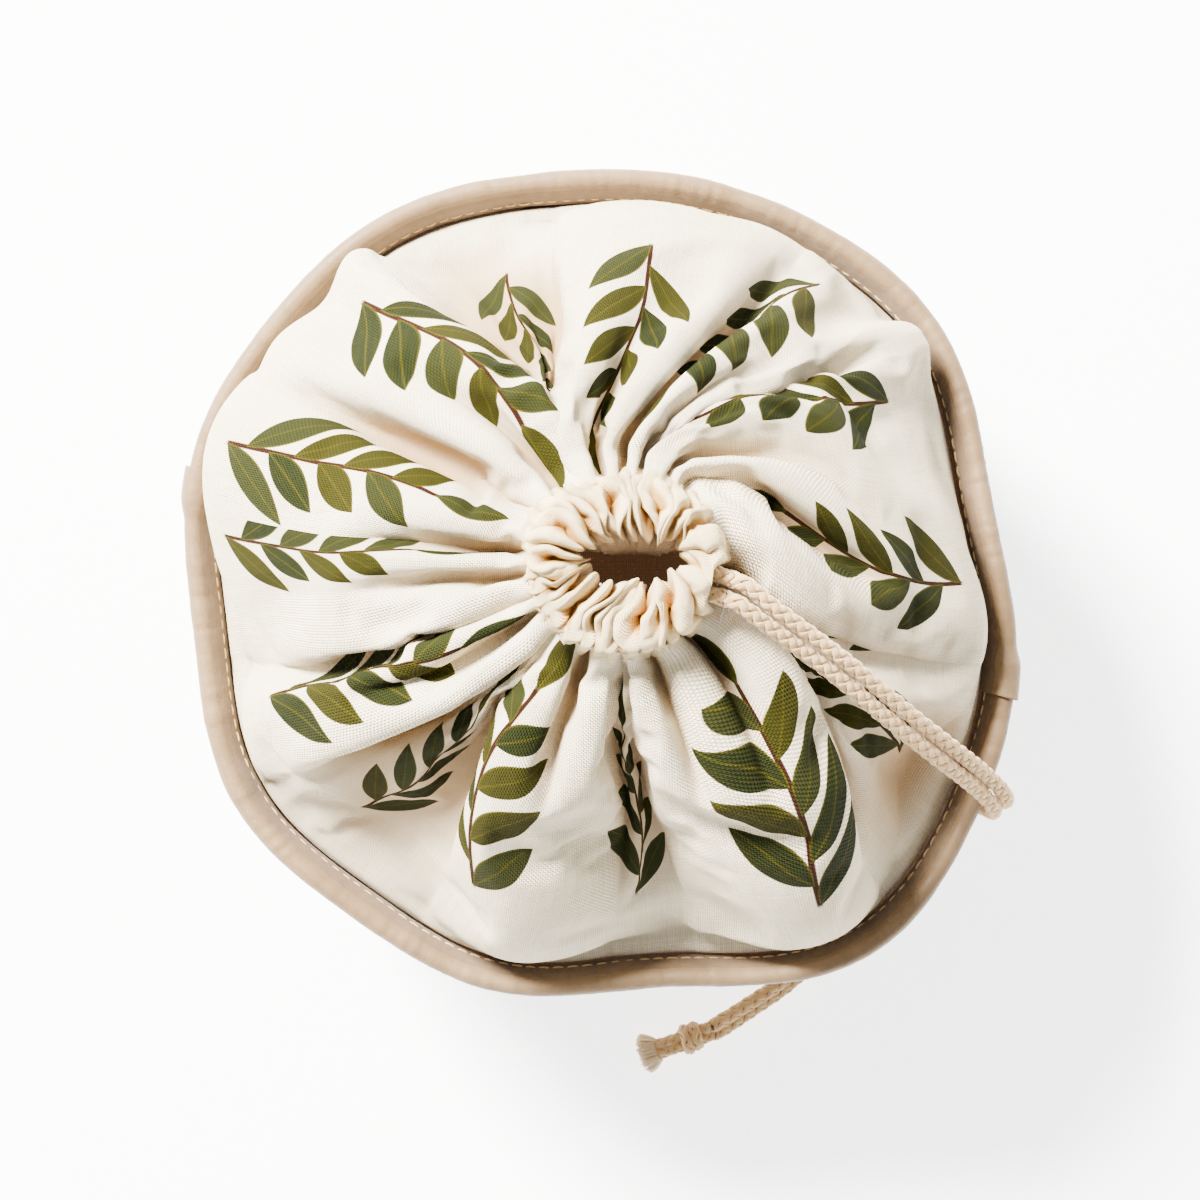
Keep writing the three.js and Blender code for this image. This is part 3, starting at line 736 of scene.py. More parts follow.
def braid(line, diameter=CORD):
    """Points, faces, uv, depth and material of each face of a braided cord along a line."""
    side, up = frames_along(line)
    along = lengths_along(line)
    scale = diameter / CORD
    middle = diameter / 2 - (YARN_HALF_THICKNESS + BRAID_LIFT) * scale
    ring = ring_angles(YARN_SIDES)
    faces = tube_faces(len(line), YARN_SIDES)
    parts = []
    for hand in (1, -1):
        for k in range(BRAID_YARNS):
            turn = hand * 2 * np.pi * along / (BRAID_PITCH * scale) + 2 * np.pi * k / BRAID_YARNS
            lift = hand * BRAID_LIFT * scale * np.cos(4 * 2 * np.pi * along / (BRAID_PITCH * scale))
            out = side * np.cos(turn)[:, None] + up * np.sin(turn)[:, None]
            centre = line + out * (middle + lift)[:, None]
            across = unit(np.cross(unit(np.gradient(centre, axis=0)), out))
            wide = across[:, None] * (YARN_HALF_WIDTH * scale * np.cos(ring))[None, :, None]
            thick = out[:, None] * (YARN_HALF_THICKNESS * scale * np.sin(ring))[None, :, None]
            skin = centre[:, None] + wide + thick
            from_axis = np.linalg.norm(skin - line[:, None], axis=2)
            depth = ((diameter / 2 - from_axis) / (SHADE_DEPTH * scale)).clip(0, 1)
            v = YARN_HALF_WIDTH * np.cos(ring)
            uv = pairs(along[:, None] + YARN_APART * k, v[None, :] + HANDS_APART * hand)
            parts.append((skin.reshape(-1, 3), faces, uv.reshape(-1, 2), depth.ravel(), [0] * len(faces)))
    points, faces = tube(line, middle - CORE_INSET * scale, 8)
    # The core takes the full painted shade
    parts.append((points, faces, np.zeros((len(points), 2)), np.ones(len(points)), [1] * len(faces)))
    return merge_threads(parts)


def cord_object(name, parts, *more_materials):
    points, faces, uv, depth, kinds = merge_threads(parts)
    materials = [cord_cotton, cord_core_shade, *more_materials]
    return make_object(name, points, faces, materials, uv, {"depth": depth}, kinds)


def turned(origin, degrees, along, beside, lift=0.0):
    """A point so far along and beside a level direction."""
    a = math.radians(degrees)
    return np.array([
        origin[0] + along * math.cos(a) - beside * math.sin(a),
        origin[1] + along * math.sin(a) + beside * math.cos(a),
        origin[2] + lift,
    ])


def beside_mouth(along, beside):
    return turned((*MOUTH, LOOP_HEIGHT), PULL_ANGLE, along, beside)


def knot_point(along, beside, lift=0.0):
    return turned(KNOT_CENTRE, KNOT_ANGLE, along, beside, lift)


def strand_line(side, route):
    beside = EXIT_OFFSET + side * CORD_SPACING / 2
    start = beside_mouth(EXIT_REACH + CLEARANCE, beside)
    lead = beside_mouth(EXIT_REACH + CLEARANCE + STRAND_LEAD, beside)
    face = knot_point(-KNOT[0] / 2 - KNOT_GAP, side * CORD_SPACING / 2)
    return curve_through([start, lead, *route, face], BRAID_STEP)


def loop_end(side):
    """Where one end of the loop leaves its circle and turns out to meet its strand."""
    offset = side * (EXIT_OFFSET + side * CORD_SPACING / 2)
    turn = math.acos((offset + EXIT_BEND) / (LOOP_RADIUS + EXIT_BEND))
    bend_start = (LOOP_RADIUS + EXIT_BEND) * math.sin(turn)
    points = [beside_mouth(EXIT_REACH, side * offset)]
    for share in (0, 0.25, 0.5, 0.75):
        angle = turn * share
        along = bend_start - EXIT_BEND * math.sin(angle)
        points.append(beside_mouth(along, side * (offset + EXIT_BEND * (1 - math.cos(angle)))))
    return points, side * (math.pi / 2 - turn)


def loop_line():
    upper, leave_upper = loop_end(1)
    lower, leave_lower = loop_end(-1)
    angles = leave_upper + (2 * math.pi + leave_lower - leave_upper) * np.linspace(0, 1, 25)
    arc = [beside_mouth(LOOP_RADIUS * math.cos(a), LOOP_RADIUS * math.sin(a)) for a in angles]
    return curve_through([*upper, *arc, *lower[::-1]], BRAID_STEP)


# Length along the loop before its exit, to a point that is worked out but not used
LOOP_BLEND = 24
TOGETHER = 5.0
ON_TABLE = 6.0
OVERLAP_FROM = 90
OVERLAP_RUN = 22
OVERLAP = 1.3
OVERLAP_LIFT = 2.3
# Lengths at the casing and at the knot over which the strands keep their own way
KEEP_AT_CASING = (4, 22)
KEEP_AT_KNOT = (0, 16)


def drawn_together(lines):
    """The two strands lie against each other, and on the table one of them rests half on the other."""
    moved = {}
    for letter, other in (("a", "b"), ("b", "a")):
        line = lines[letter]
        gap = lines[other][None] - line[:, None]
        towards = gap[np.arange(len(line)), np.linalg.norm(gap, axis=2).argmin(1)]
        distance = np.linalg.norm(towards, axis=1)[:, None]
        along = lengths_along(line)
        from_end = along[-1] - along
        hold = (smooth(along, *KEEP_AT_CASING) * smooth(from_end, *KEEP_AT_KNOT))[:, None]
        shift = towards * np.clip(1 - TOGETHER / distance, 0, 1) / 2 * hold
        flat = (line[:, 2] < ON_TABLE) & (from_end < OVERLAP_FROM)
        run = np.interp(from_end, [0, OVERLAP_FROM - OVERLAP_RUN, OVERLAP_FROM], [1, 1, 0]) * flat
        run = blurred(run, 12)[:, None]
        shift = shift + towards * [1, 1, 0] / distance * OVERLAP * run
        if letter == "b":
            shift[:, 2] += OVERLAP_LIFT * run[:, 0]
        moved[letter] = line + np.stack([blurred(column, 7) for column in shift.T], -1)
    return moved


KNOT_TURNS = 2.15
KNOT_COIL = 3.0
KNOT_LENGTH = 6.6
KNOT_CORD = 4.1
END_APART = 1.35


def make_knot(strand_ends):
    """Overhand knot in the doubled cord: the cord is wound round the pair, which runs through it."""
    coil = []
    for share in np.linspace(0, 1, 80):
        turn = (KNOT_TURNS * share - 0.2) * 2 * math.pi
        reach = KNOT_COIL * float(1 - 0.55 * (1 - smooth(min(share, 1 - share), 0.0, 0.16)))
        along = KNOT_LENGTH * (share - 0.5) + 0.9 * math.cos(turn)
        coil.append(knot_point(along, 1.06 * reach * math.cos(turn), reach * math.sin(turn)))
    lines = [coil]
    for start, side in zip(strand_ends, (1, -1)):
        through = ((-3, 0.2), (3, 0.2), (KNOT[0] / 2, 0))
        lines.append([start, *(knot_point(along, side * END_APART, lift) for along, lift in through)])
    return cord_object("knot", [braid(curve_through(line, BRAID_STEP), KNOT_CORD) for line in lines])


END_CORD = 4.2
FRAY_FIBRES = 300
FRAY_SPREAD = 4.4
FRAY_LENGTH = 6.4
FRAY_ROOT = 2.1
FRAY_STEPS = 6
FRAY_SIDES = 4


def make_end(name, side):
    """A short braided end whose tip has come undone into a tuft."""
    half = side * END_APART
    droop = KNOT_CENTRE[2] - END_FLARE - TABLE_GAP
    neck = curve_through([
        knot_point(KNOT[0] / 2 - 1.5, half, 0.0),
        knot_point(KNOT[0] / 2 + 2.2, half, -droop * 0.35),
        knot_point(KNOT[0] / 2 + 5.4, half * 1.2, -droop * 0.75),
    ], BRAID_STEP)
    direction = neck[-1] - neck[-2]
    direction /= np.linalg.norm(direction)
    across, up = frames_along(neck)
    t = np.linspace(0, 1, FRAY_STEPS)[:, None]
    draw = np.random.default_rng(40 + side)
    fibres, shades = [], []
    for _ in range(FRAY_FIBRES):
        angle, reach = draw.uniform(0, 2 * np.pi), math.sqrt(draw.uniform(0, 1))
        radial = across[-1] * math.cos(angle) + up[-1] * math.sin(angle)
        root = neck[-1] - direction * 1.6 + radial * reach * FRAY_ROOT
        length = FRAY_LENGTH * draw.uniform(0.74, 1.0) * (1 - 0.16 * reach ** 2)
        wobble = draw.normal(0, 0.3, 3)
        spread = radial * (FRAY_SPREAD - FRAY_ROOT) * reach * draw.uniform(0.8, 1.1)
        fibre = root + direction * length * t + spread * np.sin(t * 1.7) + wobble * t * t
        fibre[:, 2] = np.maximum(fibre[:, 2], 0.4)
        fibres.append(tube(fibre, np.linspace(0.34, 0.16, FRAY_STEPS), FRAY_SIDES))
        shades.append(np.full(FRAY_STEPS * FRAY_SIDES, draw.uniform(0.0, 0.6)))
    points, faces = merge(fibres)
    uv = thread_uv(len(points), FRAY_SIDES, 0.9, 0.5)
    tuft = (points, faces, uv, np.concatenate(shades), [2] * len(faces))
    return cord_object(name, [braid(neck, END_CORD), tuft], fray_cotton)


def make_drawstring():
    lines = drawn_together({"a": strand_line(1, STRAND_A_ROUTE), "b": strand_line(-1, STRAND_B_ROUTE)})
    knot = belongs(make_knot([lines["a"][-1], lines["b"][-1]]), "drawstring", "cord", "cord_knot")
    for letter, side in (("a", 1), ("b", -1)):
        end = belongs(make_end(f"frayed_end_{letter}", side), "drawstring", "cord", f"cord_end_{letter}")
        line = lines[letter]
        strand = cord_object(f"strand_{letter}", [braid(line)])
        belongs(strand, "drawstring", "cord", f"cord_strand_{letter}")
        tuple(line[0] * MM)
        (line * MM).tolist()
    loop = cord_object("loop_in_casing", [braid(loop_line())])
    start = beside_mouth(EXIT_REACH - LOOP_BLEND, EXIT_OFFSET) * MM
    end = beside_mouth(EXIT_REACH, EXIT_OFFSET) * MM
    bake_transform(loop)
    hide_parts("drawstring_loop")
    return lines


strand_lines = make_drawstring()


# Linen top: designed folds, relaxed by a cloth simulation

FOLD_LEVELS = [0.0, 0.4, 0.6, 0.8, 1.0]
DEEP = (1, 1, 1, 1, 1)
SHORT = (0, 0, 0.12, 0.55, 0.8)
# Each crease: its angle at the five levels from rim to neck, its strength there, how many mm the lobe after
# it (plus) or before it (minus) laps over the other, and the share of the depth by which the lobe after it
# stays down
CREASES = [
    ((-191.7, -190, -189, -190, -190), SHORT, 0, 0.0),
    ((-178, -178, -177, -174, -173), SHORT, 1, 0.0),
    ((-168, -165.5, -164.3, -163.3, -163), DEEP, -5, 0.0),
    ((-158, -157, -155, -152, -151), SHORT, -2, 0.0),
    ((-149, -147, -145, -141.5, -138.5), DEEP, -6, 0.55),
    ((-118, -118.5, -120.5, -125, -127), DEEP, 6, 0.0),
    ((-103, -103, -104, -106, -107), SHORT, 1, 0.0),
    ((-89, -87.5, -86, -86.5, -88), DEEP, -3, 0.75),
    ((-76, -77, -79, -82, -83.5), DEEP, 4, 0.0),
    ((-66, -66, -67, -68.5, -70), SHORT, 0, 0.0),
    ((-60, -58, -54, -50, -46), SHORT, -2, 0.0),
    ((-48, -44, -37.5, -28, -25), DEEP, -8, 0.6),
    ((-30, -28, -26, -22, -14), SHORT, 0, 0.3),
    ((-11.7, -14.2, -14.5, -12, 0), (0.5, 0.45, 0.4, 0.4, 0.7), 1, 0.1),
    ((0, -2, 0, 14, 48), (0, 0.15, 0.75, 1, 1), -6, 0.0),
    ((14, 15, 20, 36, 58), SHORT, -1, 0.0),
    ((36, 38, 42.5, 55, 66), DEEP, -7, 0.1),
    ((47, 48, 52, 62, 75), SHORT, 1, 0.0),
    ((58, 59, 62.5, 70, 83), DEEP, -2, 0.0),
    ((78, 79, 81, 87, 97), SHORT, -1, 0.0),
    ((97, 99, 100.5, 105, 110.5), DEEP, -5, 0.75),
    ((124, 124.5, 120, 113.5, 114.5), DEEP, 8, 0.0),
    ((136, 136, 134, 131, 130), SHORT, 2, 0.0),
    ((148, 149.5, 149.5, 149.5, 150), DEEP, 5, 0.0),
]
SIDE_SEAM = 13
CREST_CURVE = np.array([(114.6, RIM_HEIGHT - 1), (115.2, 147), (70, 181), (NECK_RADIUS, NECK_HEIGHT)], float)
FOLD_ROWS = 64
FOLD_COLUMNS = 364
CREASE_SAMPLES = 36
OVER_FULLNESS = 0.36
PLAIN_FULLNESS = 0.6
UNDER_FULLNESS = 1.25
# Where the linen hangs out over the rim (plus) or sinks in behind it (minus): angle, half width, mm
RIM_RELIEF = [
    (158, 19, 9.5), (127, 6, 9.5), (112, 11, -9), (37, 5.5, 9), (21, 9, -5), (47, 6, -5), (-4, 9, 2.5),
    (-32, 13, -15), (-60, 14, 3), (-81, 5, -3), (-101, 12, 3), (-133, 12, -9), (-160, 9, 3), (88, 18, 2.8),
    (63, 9, 2.4), (141, 7, 3.0), (180, 10, 2.4),
]
# Where the linen comes out from under the tape, and how far the rows above are on their way to the folds
TAPE_EDGE = (115.2, 101.6)
TAPE_ROWS = (0, 0.22, 0.48, 0.76)
# Depth in the folds, in mm, at which the shade in the cloth is full
FULL_SHADE = 15
# Depth of a crease at which its lap is full, the deepest that is tried, in how many halvings, and the least
FULL_LAP = 26
DEEPEST = 120.0
HALVINGS = 22
LEAST_AT_RIM = 4.0
# The print on the front starts this far along from that on the back
PRINT_SHIFT = 19

# Ring round the mouth where the casing comes out of the linen, and how far the linen goes on inside it and up
RUFFLE_RING = 28
RUFFLE_WAVES = [(1, 2.2, 0), (2, 1.2, 0)]
NECK_SHARES = (0.25, 0.5, 0.75, 1.0)
NECK_UNDER = 2.5
NECK_CLIMB = 8.0
NECK_DIP = (-11, 24)


def ruffle_ring(angle):
    return RUFFLE_RING + waves(RUFFLE_WAVES, angle)


def neck_rows(last):
    """Rows on from the last fold row, in under the casing and up its side, but not where the cord leaves."""
    x, y, reach, angle = round_mouth(last)
    inward = reach - np.minimum(reach, ruffle_ring(angle) - NECK_UNDER)
    from_exit = np.abs(np.degrees(angle) - NECK_DIP[0])
    climb = NECK_CLIMB * inward / inward.max() * smooth(from_exit, NECK_DIP[1] * 0.7, NECK_DIP[1] * 1.2)
    rows = []
    for share in NECK_SHARES:
        left = 1 - inward * share / reach
        z = last[:, 2] + climb * share ** 1.4
        rows.append(np.stack([MOUTH[0] + x * left, MOUTH[1] + y * left, z], -1))
    return np.array(rows)


def rim_relief(angle, t):
    """How far the linen stands out or in just above the rim."""
    total = 0
    for centre, half, reach in RIM_RELIEF:
        off = (np.degrees(angle) - centre + 180) % 360 - 180
        total = total + reach * np.exp(-((off / half) ** 2) * 1.2)
    start = np.where(total < 0, 0.3, 0.0)
    rise = start + (1 - start) * smooth(t, 0, 0.1)
    return total * rise * (1 - smooth(t, 0.14, 0.55))


def level_value(values, t):
    """Smooth curve through the values at the fold levels."""
    x = FOLD_LEVELS
    k = int(np.clip(np.searchsorted(x, t, side="right") - 1, 0, len(x) - 2))
    step = x[k + 1] - x[k]

    def slope(i):
        low, high = max(i - 1, 0), min(i + 1, len(x) - 1)
        return (values[high] - values[low]) / (x[high] - x[low])

    return between((t - x[k]) / step, step, values[k], slope(k), values[k + 1], slope(k + 1))


def crest_point(t):
    """Point on the line of the fold crests between rim and neck, and its outward normal, in (r, z)."""
    b = CREST_CURVE
    point = (1 - t) ** 3 * b[0] + 3 * t * (1 - t) ** 2 * b[1] + 3 * t * t * (1 - t) * b[2] + t ** 3 * b[3]
    along = (1 - t) ** 2 * (b[1] - b[0]) + 2 * t * (1 - t) * (b[2] - b[1]) + t * t * (b[3] - b[2])
    along = along / np.linalg.norm(along)
    return point, np.array([along[1], -along[0]])


def column_counts():
    rim_angles = [crease[0][0] for crease in CREASES]
    widths = np.diff([*rim_angles, rim_angles[0] + 360])
    return 2 * np.maximum(3, np.round(widths / 360 * FOLD_COLUMNS / 2)).astype(int)


def lobe_side(x, over):
    """Fullness and lap of a lobe, x away from a crease where it lies over, beside or under its neighbour."""
    near = 1 - np.clip(x * 2, 0, 1)
    fullness = OVER_FULLNESS if over > 0 else PLAIN_FULLNESS if over == 0 else UNDER_FULLNESS
    dip = 1 - (1 - near ** 2) ** fullness
    lap = max(over, 0) * (1 - dip) ** 0.8 * smooth(1 - x, 0.25, 0.95)
    return dip, lap


def fold_row(t, girth, counts):
    """One row of the linen: the creases are as deep as it takes to use up the whole girth of the cloth."""
    point, normal = crest_point(t)
    angle = np.radians([level_value(crease[0], t) for crease in CREASES])
    angle = np.append(angle, angle[0] + 2 * np.pi)
    strength = np.clip([level_value(crease[1], t) for crease in CREASES], 0, 1)
    strength = np.append(strength, strength[0])
    width = np.diff(angle)
    x = (1 - np.cos(np.linspace(0, np.pi, CREASE_SAMPLES))) / 2
    shapes = []
    for k, (_, _, over, _) in enumerate(CREASES):
        low_dip, low_lap = lobe_side(x, over)
        high_dip, high_lap = lobe_side(1 - x, -CREASES[(k + 1) % len(CREASES)][2])
        shapes.append((np.where(x < 0.5, low_dip, high_dip), high_lap - low_lap))

    def build(depth):
        lobes = []
        for k, (_, _, _, hollow) in enumerate(CREASES):
            dip, lap = shapes[k]
            low = depth * strength[k] * (width[k] * width[k - 1]) ** 0.25
            high = depth * strength[k + 1] * (width[k] * width[(k + 1) % len(width)]) ** 0.25
            down = hollow * smooth(t, 0.0, 0.25) * (1 - 0.6 * smooth(t, 0.5, 0.92)) * (low + high) / 2
            inward = np.where(x < 0.5, low, high) * dip + down * (1 - dip)
            at = angle[k] + width[k] * x
            nearer = np.where(x < 0.5, strength[k], strength[k + 1])
            shift = lap * min(1, depth / FULL_LAP) * nearer / point[0]
            sunk = inward - rim_relief(at, t)
            placed = place(point[0] - normal[0] * sunk, point[1] - normal[1] * sunk, at + shift)
            # The fourth column is how deep the point lies, for the painted shade in the folds
            lobes.append(np.column_stack([placed, np.maximum(sunk, 0)]))
        return lobes

    def length(lobes):
        return sum(steps_along(lobe[:, :3]).sum() for lobe in lobes)

    shallow, deep = 0.0, DEEPEST
    for _ in range(HALVINGS):
        middle = (shallow + deep) / 2
        if length(build(middle)) < girth:
            shallow = middle
        else:
            deep = middle
    row = []
    for lobe, count in zip(build(max(shallow, LEAST_AT_RIM * (1 - t))), counts):
        along = lengths_along(lobe[:, :3])
        row.append(read_at(np.arange(count) / count * along[-1], along, lobe))
    return np.vstack(row)


def designed_top():
    counts = column_counts()
    t = np.linspace(0, 1, 400)
    along = lengths_along([crest_point(s)[0] for s in t])
    levels = np.interp(np.linspace(0, along[-1], FOLD_ROWS), along, t)
    rim_line = place(CREST_CURVE[0][0], RIM_HEIGHT, np.linspace(0, 2 * np.pi, 1500))
    girth = steps_along(rim_line).sum() * 1.002
    rows = np.array([fold_row(s, girth, counts) for s in levels])
    rows, deep = rows[..., :3], rows[..., 3]
    edge = place(*TAPE_EDGE, np.arctan2(rows[0, :, 1], rows[0, :, 0]))
    below = np.array([edge + (rows[0] - edge) * share for share in TAPE_ROWS])
    above = neck_rows(rows[-1])
    deep = np.pad(deep, ((len(below), len(above)), (0, 0)), mode="edge")
    return np.concatenate([below, rows, above]), deep, counts, girth


SIM_STEP = 2
SIM_FRAMES = 20


def relaxed(points):
    """Every second row and column as cloth, puffed a little and let go; the rest takes on its movement."""
    rows, cols = points.shape[:2]
    used = sorted({*range(0, rows, SIM_STEP), rows - 1})
    coarse = points[used][:, ::SIM_STEP]
    count = coarse.shape[:2]
    obj = make_object("linen_sim", coarse, grid_faces(*count, True), [])
    held = obj.vertex_groups.new(name="held")
    index = np.arange(count[0] * count[1]).reshape(count)
    held.add([int(i) for i in [*index[:2].ravel(), *index[-1:].ravel()]], 1.0, "REPLACE")
    cloth = obj.modifiers.new("cloth", "CLOTH")
    set_all(cloth.settings, quality=5, mass=0.02, vertex_group_mass="held", use_pressure=True,
            uniform_pressure_force=3.0, tension_stiffness=40, compression_stiffness=20, shear_stiffness=8,
            bending_stiffness=6, tension_damping=5, compression_damping=5, shear_damping=5)
    cloth.settings.effector_weights.gravity = 0.1
    set_all(cloth.collision_settings, use_self_collision=True, self_distance_min=0.0012, self_friction=5)
    set_all(cloth.point_cache, frame_start=1, frame_end=SIM_FRAMES)
    scene = bpy.context.scene
    scene.frame_end = SIM_FRAMES
    for number in range(1, SIM_FRAMES + 1):
        scene.frame_set(number)
    final = obj.evaluated_get(bpy.context.evaluated_depsgraph_get())
    after = np.zeros(coarse.size)
    final.data.vertices.foreach_get("co", after)
    scene.frame_set(1)
    bpy.data.objects.remove(obj)
    moved = after.reshape(coarse.shape) / MM - coarse
    moved = np.concatenate([moved, moved[:, :1]], 1)
    known = np.append(np.arange(0, cols, SIM_STEP), cols)
    across = np.array([read_at(np.arange(cols), known, row) for row in moved])
    return points + np.stack([read_at(np.arange(rows), used, across[:, c]) for c in range(cols)], 1)


CORD_PRESS = 3.0
CORD_PRESS_REACH = 7.0
PRESS_FLAT = 1.5
PRESS_CURVE = 0.16
PRESS_BLOCK = 4000


def pressed_under_cords(points):
    """The linen gives way under the two strands that lie on it."""
    flat = points.reshape(-1, 3).copy()
    for line in strand_lines.values():
        on_top = line[line[:, 2] > RIM_HEIGHT - 6][::2]
        # In blocks, because the table of all distances would be large
        for start in range(0, len(flat), PRESS_BLOCK):
            part = flat[start:start + PRESS_BLOCK]
            gap = np.linalg.norm(part[:, None, :2] - on_top[None, :, :2], axis=2)
            nearest = gap.argmin(1)
            distance = gap[np.arange(len(part)), nearest]
            rise = PRESS_CURVE * np.maximum(distance - PRESS_FLAT, 0) ** 2
            ceiling = on_top[nearest, 2] - CORD_PRESS + rise
            near = distance < CORD_PRESS_REACH
            part[near, 2] = np.minimum(part[near, 2], ceiling[near])
    return flat.reshape(points.shape)


def make_linen_top():
    points, deep, counts, girth = designed_top()
    points = relaxed(points)
    points = pressed_under_cords(points)
    rows, cols = points.shape[:2]
    step = np.linalg.norm(np.diff(points, axis=0), axis=2)
    v = np.median(np.concatenate([np.zeros((1, cols)), np.cumsum(step, axis=0)]), axis=1)
    seam = int(counts[:SIDE_SEAM].sum())
    doubled = np.concatenate([points, points[:, :1]], 1)
    # How deep each point lies in the folds, for the painted shade there
    deep = np.clip(np.concatenate([deep, deep[:, :1]], 1) / FULL_SHADE, 0, 1)
    halves = (("front", slice(0, seam + 1), PRINT_SHIFT), ("back", slice(seam, cols + 1), 0))
    for half, columns, shift in halves:
        part = doubled[:, columns]
        width = part.shape[1]
        uv = pairs((np.arange(width) / cols * girth + shift)[None, :], v[:, None])
        obj = make_sheet(f"linen_{half}", part, [linen_print], uv, attributes={"deep": deep[:, columns]})
        belongs(obj, "bag", "linen", f"top_{half}")
        flat = (width / cols * girth * MM, float(v[-1]) * MM)
    return surface_tree(points)


linen_tree = make_linen_top()


# Bound edge, walls, lining and base

LAP = 9
LAP_RAMP = 7
TAPE_FLARE = 2.6
TAPE_ROLL = 2.3
# Inside leg of the tape: share of its flare and drop, from the roll down
TAPE_LEG = ((0.12, 0), (0.4, 1.8), (0.75, 3.6), (1.0, 5.2))
STITCH = 3.1
STITCH_GAP = 1.15
STITCH_RADIUS = 0.27
# Points of a stitch: share of its length, and height of the thread over the cloth
STITCH_SHARES = np.array([0, 0.06, 0.3, 0.7, 0.94, 1.0])
STITCH_HEIGHTS = np.array([-0.35, 0.05, 0.24, 0.24, 0.05, -0.35])
HALVES = (("back", SEAM_ANGLE), ("front", SEAM_ANGLE + 180))
# Flat cuts, and how many steps the cloths take round half the bag
TAPE_STEPS = 520
WALL_STEPS = 240
LINING_STEPS = 160
UNDER_ROLL = RIM_HEIGHT - 3.2


def swept(name, section, start, lap, lift, steps, materials, thickness, kinds=None, wobble=None):
    """Cloth whose middle follows the section round half the bag; it starts with a lap over the other half."""
    begin = math.radians(start)
    angles = np.linspace(begin - lap / RIM_RADIUS, math.radians(start + 180), steps + 1)
    middle = np.asarray(section, float)
    along = unit(np.gradient(middle, axis=0))
    length = lengths_along(middle)[:, None]
    shift = lift * (1 - smooth((angles - begin) * RIM_RADIUS, 0, LAP_RAMP))[None, :]
    if wobble:
        shift = shift + wobble(angles[None, :], length)
    points = place(middle[:, :1] + along[:, 1:] * shift, middle[:, 1:] - along[:, :1] * shift, angles)
    uv = pairs((angles * RIM_RADIUS)[None, :], length)
    face_materials = None if kinds is None else np.repeat(kinds, steps)
    return thicken(make_sheet(name, points, materials, uv, face_materials=face_materials), thickness)


def stitches(name, line):
    """A row of stitches on a line of points, with the thread dipping into the cloth at both ends of each."""
    along = lengths_along(line[:, :3])
    draw = np.random.default_rng(11)
    parts, at = [], 0.6
    while at + STITCH < along[-1]:
        length = STITCH * draw.uniform(0.9, 1.06)
        path = read_at(at + length * STITCH_SHARES, along, line)
        parts.append(tube(path[:, :3] + path[:, 3:] * STITCH_HEIGHTS[:, None], STITCH_RADIUS, 6))
        at += length + STITCH_GAP * draw.uniform(0.85, 1.15)
    return thread_object(name, parts, tan_thread, 0.31)


def stitch_line(offset, z, start, outward):
    """Points and outward directions of a row of stitches round half the rim."""
    angles = np.radians(np.linspace(start + 0.5, start + 179.5, 400))
    points = place(body_radius(z) - offset, z, angles)
    out = np.stack([np.cos(angles), np.sin(angles), np.full(len(angles), 0.25)], -1) * [outward, outward, 1]
    return np.hstack([points, unit(out)])


def inside_body(offset, thickness, heights):
    """Section of a cloth that keeps its distance to the outside of the body."""
    return [(body_radius(z) - offset - thickness / 2, z) for z in heights]


def tape_section():
    """Middle of the tape, from the lower edge outside, over the rim, to the lower edge inside."""
    top = RIM_HEIGHT - BINDING / 2 - TAPE_ROLL
    outer = inside_body(0, BINDING, (TAPE_BOTTOM, TAPE_BOTTOM + 2, TAPE_BOTTOM + 4, top - 0.4))
    centre = body_radius(top) - BINDING / 2 - TAPE_ROLL
    roll = [(centre + TAPE_ROLL * math.cos(t), top + TAPE_ROLL * math.sin(t))
            for t in np.radians(np.linspace(12, 168, 9))]
    leg = body_radius(TAPE_BOTTOM) - INNER_LEG_OFFSET - BINDING / 2
    return [*outer, *roll, *((leg - TAPE_FLARE * share, top - 0.6 - drop) for share, drop in TAPE_LEG)]


def tape_wobble(angle, along):
    """Fine wrinkles across the roll and slow unevenness along it."""
    turn = angle + 20
    fine = smooth_noise(turn * 62, 21, 389) * 0.16 + smooth_noise(turn * 23, 22, 145) * 0.22
    return fine * np.exp(-((along - 10.5) / 4.0) ** 2) + smooth_noise(turn * 9, 23, 57) * 0.2


def wall_wobble(angle, along):
    """Soft dents and slight upright buckles of the wall, none near the base and the bound edge."""
    turn = angle + 20
    buckles = smooth_noise(turn * 6 + along * 0.02, 31, 38) * 0.9
    dents = smooth_noise(turn * 11 - along * 0.045, 32, 69) * smooth_noise(along * 0.05 + 40, 33, 50) * 1.1
    return (buckles + dents) * (smooth(along, 14, 45) * (1 - smooth(along, 78, 104)))


def make_tape(half, start):
    section = tape_section()
    # The inside leg is darker: rougher reverse side and painted shade
    kinds = [0] * (len(section) - 1 - len(TAPE_LEG)) + [1] * len(TAPE_LEG)
    tape = swept(f"tape_{half}", section, start, LAP, BINDING + 0.15, TAPE_STEPS, [tape_leather, tape_reverse_and_shade],
                 BINDING, kinds, tape_wobble)
    belongs(tape, "bag", "edge_tape", f"binding_{half}")
    inner = stitch_line(INNER_LEG_OFFSET + BINDING + TAPE_FLARE * 0.62 + 0.05, TAPE_BOTTOM + 2.4, start, -1)
    outer = stitch_line(0.0, TAPE_BOTTOM + 1.9, start, 1)
    rows = [belongs(stitches(f"tape_stitches_{side}_{half}", line), "bag", "edge_tape")
            for side, line in (("inner", inner), ("outer", outer))]


